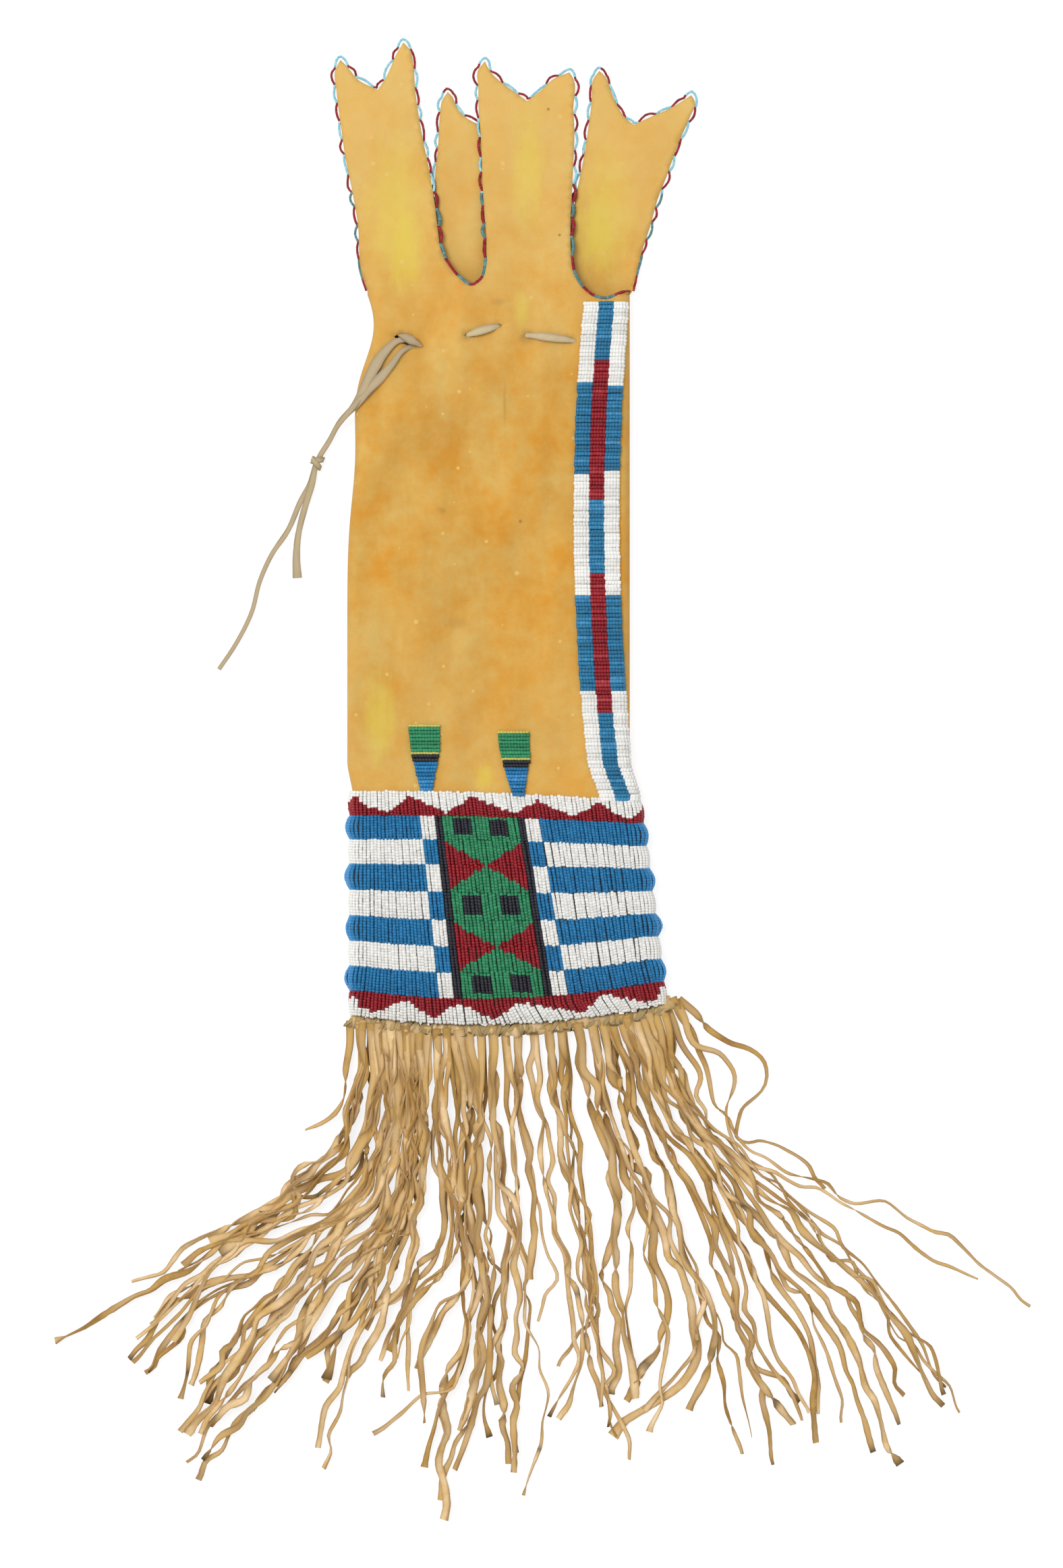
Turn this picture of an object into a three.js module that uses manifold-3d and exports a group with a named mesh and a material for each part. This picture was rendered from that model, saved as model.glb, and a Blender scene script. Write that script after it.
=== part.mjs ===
// A beaded pipe bag: a flattened tube of soft hide with four swallow-tailed ears, a laced neck, a beaded
// side strip, a beaded panel round its foot and a fringe of thongs. Millimetres, lying on its back:
// +X to the right, +Y towards the ears, +Z up, with the origin on the middle of the tube's back.

import * as THREE from 'three';
import { mergeVertices } from 'three/addons/utils/BufferGeometryUtils.js';
import { TessellateModifier } from 'three/addons/modifiers/TessellateModifier.js';
import Module from 'manifold-3d';

const wasm = await Module();
wasm.setup();
const { lerp, clamp, smoothstep } = THREE.MathUtils;

// Space that sewn pieces keep from the hide and from each other, and that loose ones keep from the ground
const CLEARANCE = 0.3;
const GROUND_GAP = 0.1;

// Hide: a tube pressed flat, drawn in on its left fold by the drawstring
const HIDE_THICKNESS = 1.2;
const POCKET_DEPTH = 9;
const TUBE_WIDTH = 151;
const TUBE_LENGTH = 242;
const MOUTH_LENGTH = 24;
const NECK_PINCH = 14;
const PINCH_RISE = 9;
const PINCH_REACH = 30;

// Ears: the step sideways from the foot, and the height above the mouth, of each tip and of the notch
const FRONT_LEFT_EAR = { foot: 38.7, inset: 0, leftTip: [-15.7, 126], notch: [6.4, 111], rightTip: [-19.8, 134] };
const FRONT_RIGHT_EAR = { foot: 45, inset: 31, leftTip: [-2.8, 124.5], notch: [20.7, 105], rightTip: [-1.4, 119.5] };
const BACK_LEFT_EAR = { foot: 56, inset: 36.6, leftTip: [6.6, 107.5], notch: [21.2, 92], rightTip: [-8, 98] };
const BACK_RIGHT_EAR = { foot: 31, inset: 0, leftTip: [14.8, 120], notch: [33.2, 91.5], rightTip: [34, 107] };
const EAR_LAP = 8;
const EAR_SPLIT = 6;
const TIP_ROUND = 4;
const SLIT_ROUND = 11;
const SLIT_RISE = 5;
const EAR_DROP_START = 5;
const EAR_DROP_END = 70;
const EAR_SPACING = 1.4;
const EDGING_RADIUS = 0.9;

// Beads stand lowest along the edges of a lane and highest along its middle
const BEAD_EDGE = 1.0;
const BEAD_CROWN = 1.6;

// Beaded panel: a border, seven stripes and a border, in lanes that follow its bowed foot
const STRIPES = 7;
const PANEL_HEIGHT = { left: 121.3, middle: 124.5, right: 108.7 };
const PANEL_TOP = { left: 1.1, middle: 0, right: -3.6 };
const PANEL_TUCK = 1.5;
const PANEL_SPREAD = 4;
const PANEL_FLARE = 14;
const PANEL_STEP = 15;
const SEAM_DEPTH = 4.8;
const TAPER_LANES = 2;
const POCKET_END_LANES = 0.6;
const MOUNTAINS = 5;
const MOUNTAIN_REACH = 0.2;
const MOUNTAIN_FOOT = 0.84;

// Middle column of the panel: navy rails, green hexagons with two navy squares each, red between them
const COLUMN_X = -4.8;
const COLUMN_LEAN = 13;
const COLUMN_WIDTH = 48;
const RAIL_WIDTH = 3.6;
const CHECK_WIDTH = 8.6;
const HEXAGON_SHOULDER = 0.6;
const HEXAGON_REACH = 1.5;
const HEXAGON_PITCH = 3;
const HEXAGON_NECK = 1.8;
const SQUARE_WIDTH = 9.2;
const SQUARE_OFFSET = 9.2;
const SQUARE_LANES = 0.62;

// Side strip: three lanes of colour blocks, listed from the mouth down
const STRIP_LANE = 8;
const STRIP_TOP = 4;
const STRIP_INSET = { bottom: 10, middle: 18, top: 14 };
const STRIP_STEP = 20;
const SIDE_BLOCKS = [['white', 44], ['blue', 47], ['white', 66], ['blue', 50], ['white', 57]];
const MIDDLE_BLOCKS = [['blue', 32], ['red', 73], ['blue', 40], ['red', 74], ['blue', 45]];

// Two beaded tabs above the panel
const TABS = [{ name: 'tab_left', x: -34, height: 36 }, { name: 'tab_right', x: 13.2, height: 33 }];
const TAB_WIDTHS = [[0, 5.6], [0.45, 13.4], [0.55, 15.5], [1, 17]];

// Drawstring: a flat thong laced through slits in the neck, its two ends knotted together
const LACE_WIDTH = 3.6;
const LACE_THICKNESS = 1.3;
const LACE_RAMP = 5;
const EXIT_X = -42;
const STITCHES = [[-9.5, 4.2], [21.6, 44.3]];
const LACE_TURN = 20;
const KNOT_RADII = [4.2, 4.4, 2.9];

// Places of the free ends, from the left fold at the drawstring's height, each with its height above the ground
const OUTER_STRAND = [[26, 0, 12.4], [16.5, -8, 12.4], [10.3, -19.5, 12.4], [6.7, -30, 12.4], [4.2, -35.5, 12],
  [-1, -41, 9.5], [-5.5, -46, 5.5], [-10, -54, 3.4]];
const INNER_STRAND = [[29, -6, 12.4], [22.6, -14, 12.4], [13.9, -24, 12.4], [5.9, -33, 12.2], [0.5, -39, 10],
  [-4, -43.5, 6.5], [-9, -52, 3.6]];
const KNOT_PLACE = [-16.3, -64.5, 3.8];
const LONG_TAIL = [[-20, -76, 1.5], [-25, -85, 0.8], [-32, -101, 0.8], [-41, -114.5, 0.8], [-47, -128, 0.8],
  [-51.5, -145, 0.8], [-60, -162, 0.8], [-69, -175.5, 0.8]];
const SHORT_TAIL = [[-19, -76, 2.4], [-23, -89, 0.8], [-26.5, -103.5, 0.8], [-27.5, -115.5, 0.8], [-27, -126.5, 0.8]];

// Fringe: a rolled heading along the foot, and thongs that fan out over the ground. Each thong's route has
// its share along the heading, then its places measured from there.
const HEADING_HEIGHT = 6.5;
const HEADING_DEPTH = 6.2;
const HEADING_SPAN = [-0.02, 1.06];
const HEADING_STEPS = 12;
const THONG_WIDTH = 4.2;
const THONG_THICKNESS = 1.3;
const THONG_LAYERS = 4;
const THONG_ROUTES = [
  [-0.01, [-1, -16], [-4, -32], [-10, -46], [-18, -55], [-24, -59]],
  [0.02, [0, -33], [-11, -78], [-47, -101], [-104, -137], [-163, -171]],
  [0.06, [0, -39], [-13, -84], [-52, -108], [-92, -135], [-127, -167]],
  [0.08, [1, -43], [-13, -93], [-56, -124], [-92, -140], [-132, -180]],
  [0.10, [1, -42], [-13, -96], [-53, -127], [-96, -154], [-112, -199]],
  [0.12, [1, -49], [-11, -96], [-45, -130], [-78, -171], [-111, -217]],
  [0.15, [2, -52], [-9, -99], [-45, -142], [-81, -185], [-116, -232]],
  [0.17, [1, -56], [-8, -106], [-42, -146], [-71, -192], [-113, -241]],
  [0.19, [-1, -59], [-8, -109], [-22, -138], [-42, -165], [-55, -178]],
  [0.21, [-1, -59], [-6, -95], [-24, -138], [-40, -185], [-54, -235]],
  [0.24, [-2, -55], [-3, -91], [-12, -123], [-14, -137], [-31, -155]],
  [0.27, [2, -51], [5, -90], [2, -126], [-16, -150], [-30, -197]],
  [0.30, [3, -51], [4, -94], [11, -133], [-7, -159], [-10, -211]],
  [0.34, [6, -50], [4, -94], [7, -140], [-3, -187], [-9, -262]],
  [0.37, [4, -50], [5, -97], [9, -144], [12, -184], [-8, -235]],
  [0.41, [2, -50], [4, -94], [6, -140], [1, -180], [-7, -209]],
  [0.45, [3, -54], [7, -94], [9, -137], [6, -187], [7, -235]],
  [0.49, [4, -58], [10, -98], [13, -141], [20, -188], [11, -250]],
  [0.53, [2, -51], [7, -87], [11, -116], [11, -127], [10, -134]],
  [0.58, [4, -55], [11, -95], [20, -131], [26, -171], [8, -208]],
  [0.63, [6, -56], [14, -99], [20, -142], [24, -178], [26, -205]],
  [0.67, [5, -53], [12, -96], [17, -140], [24, -183], [33, -233]],
  [0.72, [13, -54], [18, -98], [14, -137], [18, -170], [21, -198]],
  [0.77, [11, -55], [25, -95], [32, -124], [41, -167], [30, -219]],
  [0.80, [12, -46], [24, -85], [39, -128], [50, -175], [5, -221]],
  [0.83, [13, -46], [31, -90], [45, -133], [59, -180], [69, -233]],
  [0.86, [13, -44], [35, -87], [51, -130], [66, -180], [83, -241]],
  [0.88, [14, -44], [40, -88], [58, -134], [65, -178], [93, -206]],
  [0.91, [15, -45], [42, -88], [64, -135], [87, -178], [96, -229]],
  [0.93, [17, -46], [44, -89], [71, -132], [98, -179], [112, -217]],
  [0.95, [17, -47], [46, -86], [78, -137], [108, -176], [134, -242]],
  [0.97, [17, -48], [46, -84], [86, -123], [129, -159], [153, -211]],
  [1.00, [17, -49], [46, -85], [89, -128], [129, -173], [163, -213]],
  [1.01, [18, -52], [47, -83], [86, -97], [122, -121], [166, -144]],
  [1.03, [14, -34], [23, -63], [66, -92], [120, -115], [193, -160]],
  [1.04, [30, -31], [27, -56], [35, -70], [60, -72], [78, -97]],
  [1.05, [19, -7], [41, -32], [28, -52], [44, -85], [62, -96]],
];

// Materials
const finish = (color, roughness) => new THREE.MeshStandardMaterial({ color, roughness, metalness: 0 });
const FINISHES = {
  hide: finish(0xdba851, 0.9),
  fringe: finish(0xb6945f, 0.85),
  lace: finish(0xcbb79d, 0.8),
  white: finish(0xdddcd7, 0.35),
  blue: finish(0x2e6794, 0.3),
  red: finish(0x7c2427, 0.3),
  green: finish(0x346d4d, 0.3),
  navy: finish(0x22222c, 0.3),
  edging: finish(0x8c4a4c, 0.3),
};

// Values worked out from the sizes above
const half = TUBE_WIDTH / 2;
const wallDepth = POCKET_DEPTH + 2 * HIDE_THICKNESS;
const neckY = TUBE_LENGTH / 2;
const panelTopY = -TUBE_LENGTH / 2;
const rampTopY = panelTopY + PANEL_STEP;
const mouthY = neckY + MOUTH_LENGTH;
const pinchY = neckY + PINCH_RISE;
const lanes = STRIPES + 2;
const panelRaise = CLEARANCE + BEAD_CROWN + GROUND_GAP;
const laneHeight = PANEL_HEIGHT.middle / lanes;
const laneGap = CLEARANCE / laneHeight;
const FRONT = Math.PI / 2;
const BACK = 1.5 * Math.PI;

// Facets round a fold, across a flat face, under a lane of the side strip, round an ear's corner and along a thong
const FOLD_STEPS = 6;
const FLAT_STEPS = 5;
const BASE_STEPS = 4;
const CURVE_STEPS = 4;
const THONG_STEPS = 5;
const LONG_END_STEPS = 22;
const SHORT_END_STEPS = 18;

// Longest edge that the ears are cut into, and the tube's rows below the drawstring
const EDGE_STEP = 30;
const HIDE_ROWS = [60, 36, 21, 6, -9];

// Value of the parabola through three evenly spaced values
function bow(start, middle, end, share) {
  const first = start * (1 - share) * (1 - 2 * share);
  const second = 4 * middle * share * (1 - share);
  return first + second + end * share * (2 * share - 1);
}

// A run of evenly spaced values, ends included
function spread(from, to, steps) {
  return Array.from({ length: steps + 1 }, (_, i) => lerp(from, to, i / steps));
}

// Cross-section of the flattened tube, a flat oval between its two folds
function section(left, right, low, depth) {
  const radius = depth / 2;
  return { left, right, low, high: low + depth, radius, middle: low + radius,
    flatLeft: left + radius, flatRight: right - radius };
}

function tubeSection(y) {
  const pinch = NECK_PINCH * Math.exp(-(((y - pinchY) / PINCH_REACH) ** 2));
  const nearPanel = clamp((panelTopY + PANEL_STEP - y) / PANEL_STEP, 0, 1);
  const left = -half + pinch + PANEL_TUCK * nearPanel;
  return section(left, half + PANEL_SPREAD * nearPanel, panelRaise * nearPanel, wallDepth);
}

function panelSection(lane) {
  const taper = clamp((lane - lanes + TAPER_LANES) / TAPER_LANES, 0, 1);
  const right = half + PANEL_SPREAD + (PANEL_FLARE * lane) / lanes;
  return section(-half + PANEL_TUCK, right, panelRaise, lerp(wallDepth, SEAM_DEPTH, taper));
}

function panelY(share, lane) {
  const top = bow(PANEL_TOP.left, PANEL_TOP.middle, PANEL_TOP.right, share);
  const height = bow(PANEL_HEIGHT.left, PANEL_HEIGHT.middle, PANEL_HEIGHT.right, share);
  return panelTopY + top - (height * lane) / lanes;
}

// A place on the outside of a cross-section: a share of its flat width, the way it faces, and its lift
function onSection({ flatLeft, flatRight, middle, radius }, { share, angle }, lift) {
  const reach = radius + lift;
  return [lerp(flatLeft, flatRight, share) + reach * Math.cos(angle), middle + reach * Math.sin(angle)];
}

function panelPoint(spot, lane, lift) {
  const place = typeof spot === 'function' ? spot(lane) : spot;
  const [x, z] = onSection(panelSection(lane), place, lift);
  return new THREE.Vector3(x, panelY(place.share, lane), z);
}

function tubePoint(place, y, lift) {
  const [x, z] = onSection(tubeSection(y), place, lift);
  return new THREE.Vector3(x, y, z);
}

const onFace = (angle, from, to, steps) => spread(from, to, steps).map((share) => ({ share, angle }));
const rightFold = () => spread(FRONT, -FRONT, FOLD_STEPS).slice(1, -1).map((angle) => ({ share: 1, angle }));
const leftFold = () => spread(BACK, FRONT, FOLD_STEPS).slice(1, -1).map((angle) => ({ share: 0, angle }));

// Closed solid through a row of rings with equal numbers of points, capped unless it closes on itself
function loft(rings, closesOnItself = false) {
  const count = rings[0].length;
  const index = [];
  const quad = (a, b, c, d) => index.push(a, b, c, a, c, d);
  const spans = closesOnItself ? rings.length : rings.length - 1;
  for (let r = 0; r < spans; r += 1) {
    const here = r * count;
    const next = ((r + 1) % rings.length) * count;
    for (let i = 0; i < count; i += 1) {
      const j = (i + 1) % count;
      quad(here + i, here + j, next + j, next + i);
    }
  }
  if (!closesOnItself) {
    const last = (rings.length - 1) * count;
    for (let i = 0, j = count - 1; j - i > 1; i += 1, j -= 1) {
      index.push(i, j, i + 1, last + i, last + i + 1, last + j);
      if (j - i > 2) index.push(i + 1, j, j - 1, last + i + 1, last + j - 1, last + j);
    }
  }
  const geometry = new THREE.BufferGeometry().setFromPoints(rings.flat());
  geometry.setIndex(signedVolume(rings.flat(), index) < 0 ? index.reverse() : index);
  return geometry;
}

function signedVolume(points, index) {
  let volume = 0;
  for (let i = 0; i < index.length; i += 3) {
    const [a, b, c] = [points[index[i]], points[index[i + 1]], points[index[i + 2]]];
    volume += new THREE.Vector3().crossVectors(b, c).dot(a) / 6;
  }
  return volume;
}

// Solid along a path: the profile's first value lies level across the path, its second points up
function sweep(path, profile) {
  const across = (from, to) => new THREE.Vector2(to.y - from.y, from.x - to.x).normalize();
  const rings = path.map((point, i) => {
    const before = i > 0 ? across(path[i - 1], point) : across(point, path[i + 1]);
    const after = i < path.length - 1 ? across(point, path[i + 1]) : before;
    const mitre = before.clone().add(after).divideScalar(Math.max(1 + before.dot(after), 0.5));
    return profile.map(([side, up]) => new THREE.Vector3(
      point.x + mitre.x * side, point.y + mitre.y * side, point.z + up));
  });
  return loft(rings);
}

const smoothPath = (points, steps) => new THREE.CatmullRomCurve3(points).getPoints(steps);
const flatProfile = (width, thickness) => [
  [-width / 2, -thickness / 2], [width / 2, -thickness / 2], [width / 2, thickness / 2], [-width / 2, thickness / 2]];
const roundProfile = (sides, width, height, offset = 0) => Array.from({ length: sides }, (_, i) => {
  const angle = (2 * Math.PI * i) / sides;
  return [offset + (width / 2) * Math.cos(angle), (height / 2) * Math.sin(angle)];
});

// Joins and cuts
function solid(geometry) {
  const bare = new THREE.BufferGeometry();
  bare.setAttribute('position', geometry.getAttribute('position').clone());
  bare.setIndex(geometry.getIndex());
  const merged = mergeVertices(bare, 1e-3);
  return new wasm.Manifold(new wasm.Mesh({
    numProp: 3,
    vertProperties: new Float32Array(merged.getAttribute('position').array),
    triVerts: new Uint32Array(merged.getIndex().array),
  }));
}

function geometryOf(manifold) {
  const mesh = manifold.getMesh();
  const geometry = new THREE.BufferGeometry();
  geometry.setAttribute('position', new THREE.BufferAttribute(mesh.vertProperties, 3));
  geometry.setIndex(new THREE.BufferAttribute(mesh.triVerts, 1));
  return geometry;
}

const join = (geometries) => geometries.map(solid).reduce((whole, piece) => whole.add(piece));
const box = (x, y, z, width, length, height) => new THREE.BoxGeometry(width, length, height).translate(x, y, z);

// Ears

function earCorners(ear, fromLeft) {
  const { left, right } = tubeSection(mouthY);
  const footLeft = fromLeft ? left + ear.inset : right - ear.inset - ear.foot;
  const footRight = footLeft + ear.foot;
  const corner = (x, height, round = 0) => ({ x, y: mouthY + height, round });
  return {
    footLeft,
    footRight,
    leftTip: corner(footLeft + ear.leftTip[0], ear.leftTip[1], TIP_ROUND),
    notch: corner(footLeft + ear.notch[0], ear.notch[1]),
    rightTip: corner(footRight + ear.rightTip[0], ear.rightTip[1], TIP_ROUND),
  };
}

// Path through corners, each rounded off by its own length
function roundedPath(corners) {
  const path = new THREE.Path();
  const place = ({ x, y }) => new THREE.Vector2(x, y);
  path.moveTo(corners[0].x, corners[0].y);
  for (let i = 1; i < corners.length - 1; i += 1) {
    const corner = place(corners[i]);
    if (corners[i].round > 0) {
      const before = place(corners[i - 1]).sub(corner).setLength(corners[i].round).add(corner);
      const after = place(corners[i + 1]).sub(corner).setLength(corners[i].round).add(corner);
      path.lineTo(before.x, before.y);
      path.quadraticCurveTo(corner.x, corner.y, after.x, after.y);
    } else {
      path.lineTo(corner.x, corner.y);
    }
  }
  path.lineTo(corners.at(-1).x, corners.at(-1).y);
  return path;
}

// Edge of the two front ears, from the right fold over both ears to the left fold
function frontEdge() {
  const { left, flatRight } = tubeSection(mouthY);
  const leftEar = earCorners(FRONT_LEFT_EAR, true);
  const rightEar = earCorners(FRONT_RIGHT_EAR, false);
  return roundedPath([
    { x: flatRight, y: mouthY },
    { x: rightEar.footRight, y: mouthY, round: SLIT_ROUND },
    rightEar.rightTip, rightEar.notch, rightEar.leftTip,
    { x: rightEar.footLeft, y: mouthY + SLIT_RISE, round: SLIT_ROUND },
    { x: leftEar.footRight, y: mouthY + SLIT_RISE, round: SLIT_ROUND },
    leftEar.rightTip, leftEar.notch, leftEar.leftTip,
    { x: left, y: mouthY + EAR_SPLIT },
  ]);
}

// Edge of the two back ears, which mirror the front ones
function backEdge() {
  const { flatLeft, right } = tubeSection(mouthY);
  const leftEar = earCorners(BACK_LEFT_EAR, true);
  const rightEar = earCorners(BACK_RIGHT_EAR, false);
  const slitRound = Math.min(SLIT_ROUND, 0.45 * (rightEar.footLeft - leftEar.footRight));
  return roundedPath([
    { x: right, y: mouthY + EAR_SPLIT },
    rightEar.rightTip, rightEar.notch, rightEar.leftTip,
    { x: rightEar.footLeft, y: mouthY + SLIT_RISE, round: slitRound },
    { x: leftEar.footRight, y: mouthY + SLIT_RISE, round: slitRound },
    leftEar.rightTip, leftEar.notch, leftEar.leftTip,
    { x: leftEar.footLeft, y: mouthY, round: SLIT_ROUND },
    { x: flatLeft, y: mouthY },
  ]);
}

// Points along an edge, close enough together to follow the ears as they sink to the ground
function edgePoints(path) {
  const corners = path.getPoints(CURVE_STEPS);
  return corners.flatMap((corner, i) => {
    if (i === 0) return [corner];
    const steps = Math.ceil(corner.distanceTo(corners[i - 1]) / EDGE_STEP);
    return spread(0, 1, steps).slice(1).map((share) => corners[i - 1].clone().lerp(corner, share));
  });
}

// Height that the front ears have lost at a distance from the mouth, as they sink on to the back ones
function frontDrop(y) {
  const resting = HIDE_THICKNESS + EAR_SPACING;
  const drop = tubeSection(mouthY).high - HIDE_THICKNESS - resting;
  return drop * smoothstep(y, mouthY + EAR_DROP_START, mouthY + EAR_DROP_END);
}

function earPlate(path) {
  const { flatLeft, flatRight } = tubeSection(mouthY);
  const shape = new THREE.Shape([
    ...edgePoints(path),
    new THREE.Vector2(flatLeft, mouthY - EAR_LAP),
    new THREE.Vector2(flatRight, mouthY - EAR_LAP),
  ]);
  return new THREE.ExtrudeGeometry(shape, { depth: HIDE_THICKNESS, bevelEnabled: false });
}

function frontEars() {
  const plate = new TessellateModifier(EDGE_STEP, 8).modify(earPlate(frontEdge()));
  const position = plate.getAttribute('position');
  const base = tubeSection(mouthY).high - HIDE_THICKNESS;
  for (let i = 0; i < position.count; i += 1) {
    position.setZ(i, position.getZ(i) + base - frontDrop(position.getY(i)));
  }
  return plate;
}

// String of beads round the ears' edges
function edging(path, height) {
  const points = edgePoints(path).map((point) => new THREE.Vector3(point.x, point.y, height(point.y)));
  return sweep(points, roundProfile(4, 2 * EDGING_RADIUS, 2 * EDGING_RADIUS, EDGING_RADIUS + CLEARANCE));
}

const frontEdgingHeight = (y) => tubeSection(mouthY).high - HIDE_THICKNESS / 2 - frontDrop(y);
const backEdgingHeight = () => Math.max(HIDE_THICKNESS / 2, EDGING_RADIUS + GROUND_GAP);

// Hide

const laceOut = tubeSection(neckY).high + CLEARANCE + LACE_THICKNESS / 2;
const laceIn = tubeSection(neckY).high - HIDE_THICKNESS - CLEARANCE - LACE_THICKNESS / 2;
const laceBack = HIDE_THICKNESS + CLEARANCE + LACE_THICKNESS / 2;
const laceSide = (LACE_WIDTH + CLEARANCE) / 2;

// Tube's skin at a lift from its outside: panel rows from the foot up, then tube rows to the mouth
function hideSkin(lift, footLane, topY) {
  const spots = [
    ...onFace(FRONT, 0, 1, FLAT_STEPS), ...rightFold(), ...onFace(BACK, 1, 0, FLAT_STEPS), ...leftFold()];
  const panelRows = [footLane, lanes - TAPER_LANES, 0];
  const tubeRows = [rampTopY, ...HIDE_ROWS.map((below) => neckY - below), topY];
  return loft([
    ...panelRows.map((lane) => spots.map((spot) => panelPoint(spot, lane, lift))),
    ...tubeRows.map((y) => spots.map((spot) => tubePoint(spot, y, lift))),
  ]);
}

function hideGeometry() {
  const outside = hideSkin(0, lanes, mouthY);
  const pocket = hideSkin(-HIDE_THICKNESS, lanes - POCKET_END_LANES, mouthY + EAR_SPLIT);
  const wallMiddle = tubeSection(neckY).high - HIDE_THICKNESS / 2;
  const slope = LACE_RAMP / (laceOut - laceIn);
  const slitLength = (HIDE_THICKNESS + LACE_THICKNESS) * slope + 2 * CLEARANCE;
  const slit = (x, y, width) => solid(box(x, y, wallMiddle, slitLength, width, 2 * HIDE_THICKNESS));
  const stitchSlits = STITCHES.flat().map((x) => slit(x, neckY + laceSide, LACE_WIDTH + 2 * CLEARANCE));
  const exitSlit = slit(EXIT_X, neckY, 2 * LACE_WIDTH + 3 * CLEARANCE);
  const tube = solid(outside).subtract(solid(pocket));
  const eared = tube.add(solid(frontEars())).add(solid(earPlate(backEdge())));
  return geometryOf([...stitchSlits, exitSlit].reduce((hide, cut) => hide.subtract(cut), eared));
}

// Beadwork

// Bead height at a place across the lanes
function beadHeight(lane) {
  return BEAD_EDGE + (BEAD_CROWN - BEAD_EDGE) * Math.sin(Math.PI * (lane - Math.floor(lane)));
}

// Ring across one lane, from one lane value to another
function laneRing(spot, from, to) {
  const lift = (lane) => CLEARANCE + beadHeight(lane);
  const middle = (from + to) / 2;
  return [
    panelPoint(spot, from, CLEARANCE), panelPoint(spot, to, CLEARANCE), panelPoint(spot, to, lift(to)),
    panelPoint(spot, middle, lift(middle)), panelPoint(spot, from, lift(from))];
}

const columnX = (lane) => COLUMN_X + (COLUMN_LEAN * (lane - 1)) / STRIPES;

// A place on the front, measured from the leaning middle line of the panel
const fromColumn = (offset) => (lane) => {
  const { flatLeft, flatRight } = panelSection(lane);
  return { share: (columnX(lane) + offset - flatLeft) / (flatRight - flatLeft), angle: FRONT };
};

// Front places from the panel's middle line out to one of its folds
function toFold(offset, foldShare, steps) {
  return spread(0, 1, steps).map((step) => (lane) => {
    const start = fromColumn(offset)(lane).share;
    return { share: lerp(start, foldShare, step), angle: FRONT };
  });
}

// A stripe runs from one check round the back to the other
function stripe(lane) {
  const edge = COLUMN_WIDTH / 2 + CHECK_WIDTH;
  const spots = [
    ...toFold(edge, 1, 3), ...rightFold(), ...onFace(BACK, 1, 0, FLAT_STEPS), ...leftFold(), ...toFold(-edge, 0, 3).reverse()];
  return loft(spots.map((spot) => laneRing(spot, lane + laneGap / 2, lane + 1 - laneGap / 2)));
}

function check(lane, side) {
  const inner = side * (COLUMN_WIDTH / 2 + CLEARANCE / 2);
  const outer = side * (COLUMN_WIDTH / 2 + CHECK_WIDTH - CLEARANCE);
  const spots = [fromColumn(inner), fromColumn(outer)];
  return loft(spots.map((spot) => laneRing(spot, lane + laneGap / 2, lane + 1 - laneGap / 2)));
}

// A border runs right round: the zigzag between its white and its red turns at each place listed
function borderSpots() {
  const face = (angle, from, to) => onFace(angle, from, to, 2 * MOUNTAINS)
    .map((spot, i) => ({ spot, rise: i % 2 }));
  const fold = (spots) => spots.map((spot, i) => ({ spot, rise: 1 - Math.abs((2 * (i + 1)) / FOLD_STEPS - 1) }));
  return [
    ...face(FRONT, 0, 1), ...fold(rightFold()), ...face(BACK, 1, 0), ...fold(leftFold())];
}

function border(lane, colour) {
  const atTop = lane === 0;
  const high = lane + laneGap / 2;
  const low = lane + 1 - laneGap / 2;
  const rings = borderSpots().map(({ spot, rise }) => {
    const line = lane + (atTop
      ? lerp(MOUNTAIN_REACH, MOUNTAIN_FOOT, rise)
      : lerp(1 - MOUNTAIN_FOOT, 1 - MOUNTAIN_REACH, rise));
    const upper = (colour === 'white') === atTop;
    return upper ? laneRing(spot, high, line - laneGap) : laneRing(spot, line + laneGap, low);
  });
  return loft(rings, true);
}

// Field of beads over several lanes, between two offsets from the panel's middle line
function field(rows, leftOf, rightOf) {
  return loft(rows.map((lane) => {
    const lift = CLEARANCE + beadHeight(lane);
    const [left, right] = [fromColumn(leftOf(lane)), fromColumn(rightOf(lane))];
    return [
      panelPoint(left, lane, CLEARANCE), panelPoint(right, lane, CLEARANCE),
      panelPoint(right, lane, lift), panelPoint(left, lane, lift)];
  }));
}

// Lane values for a field: its two ends and every half lane between
function levels(from, to) {
  const inner = spread(0, 2 * lanes, 2 * lanes).map((step) => step / 2);
  return [from, ...inner.filter((lane) => lane > from + 0.05 && lane < to - 0.05), to];
}

const columnTop = 1 + laneGap / 2;
const columnFoot = STRIPES + 1 - laneGap / 2;
const columnHalf = COLUMN_WIDTH / 2 - RAIL_WIDTH - CLEARANCE / 2;
const hexagonLanes = [1.5, 1.5 + HEXAGON_PITCH, 1.5 + 2 * HEXAGON_PITCH];

// Half width of the green chain of hexagons
function hexagonHalf(lane) {
  const away = Math.min(...hexagonLanes.map((centre) => Math.abs(lane - centre)));
  const share = clamp((HEXAGON_REACH - away) / (HEXAGON_REACH - HEXAGON_SHOULDER), 0, 1);
  return Math.max(columnHalf * share - CLEARANCE / 2, HEXAGON_NECK / 2);
}

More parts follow.
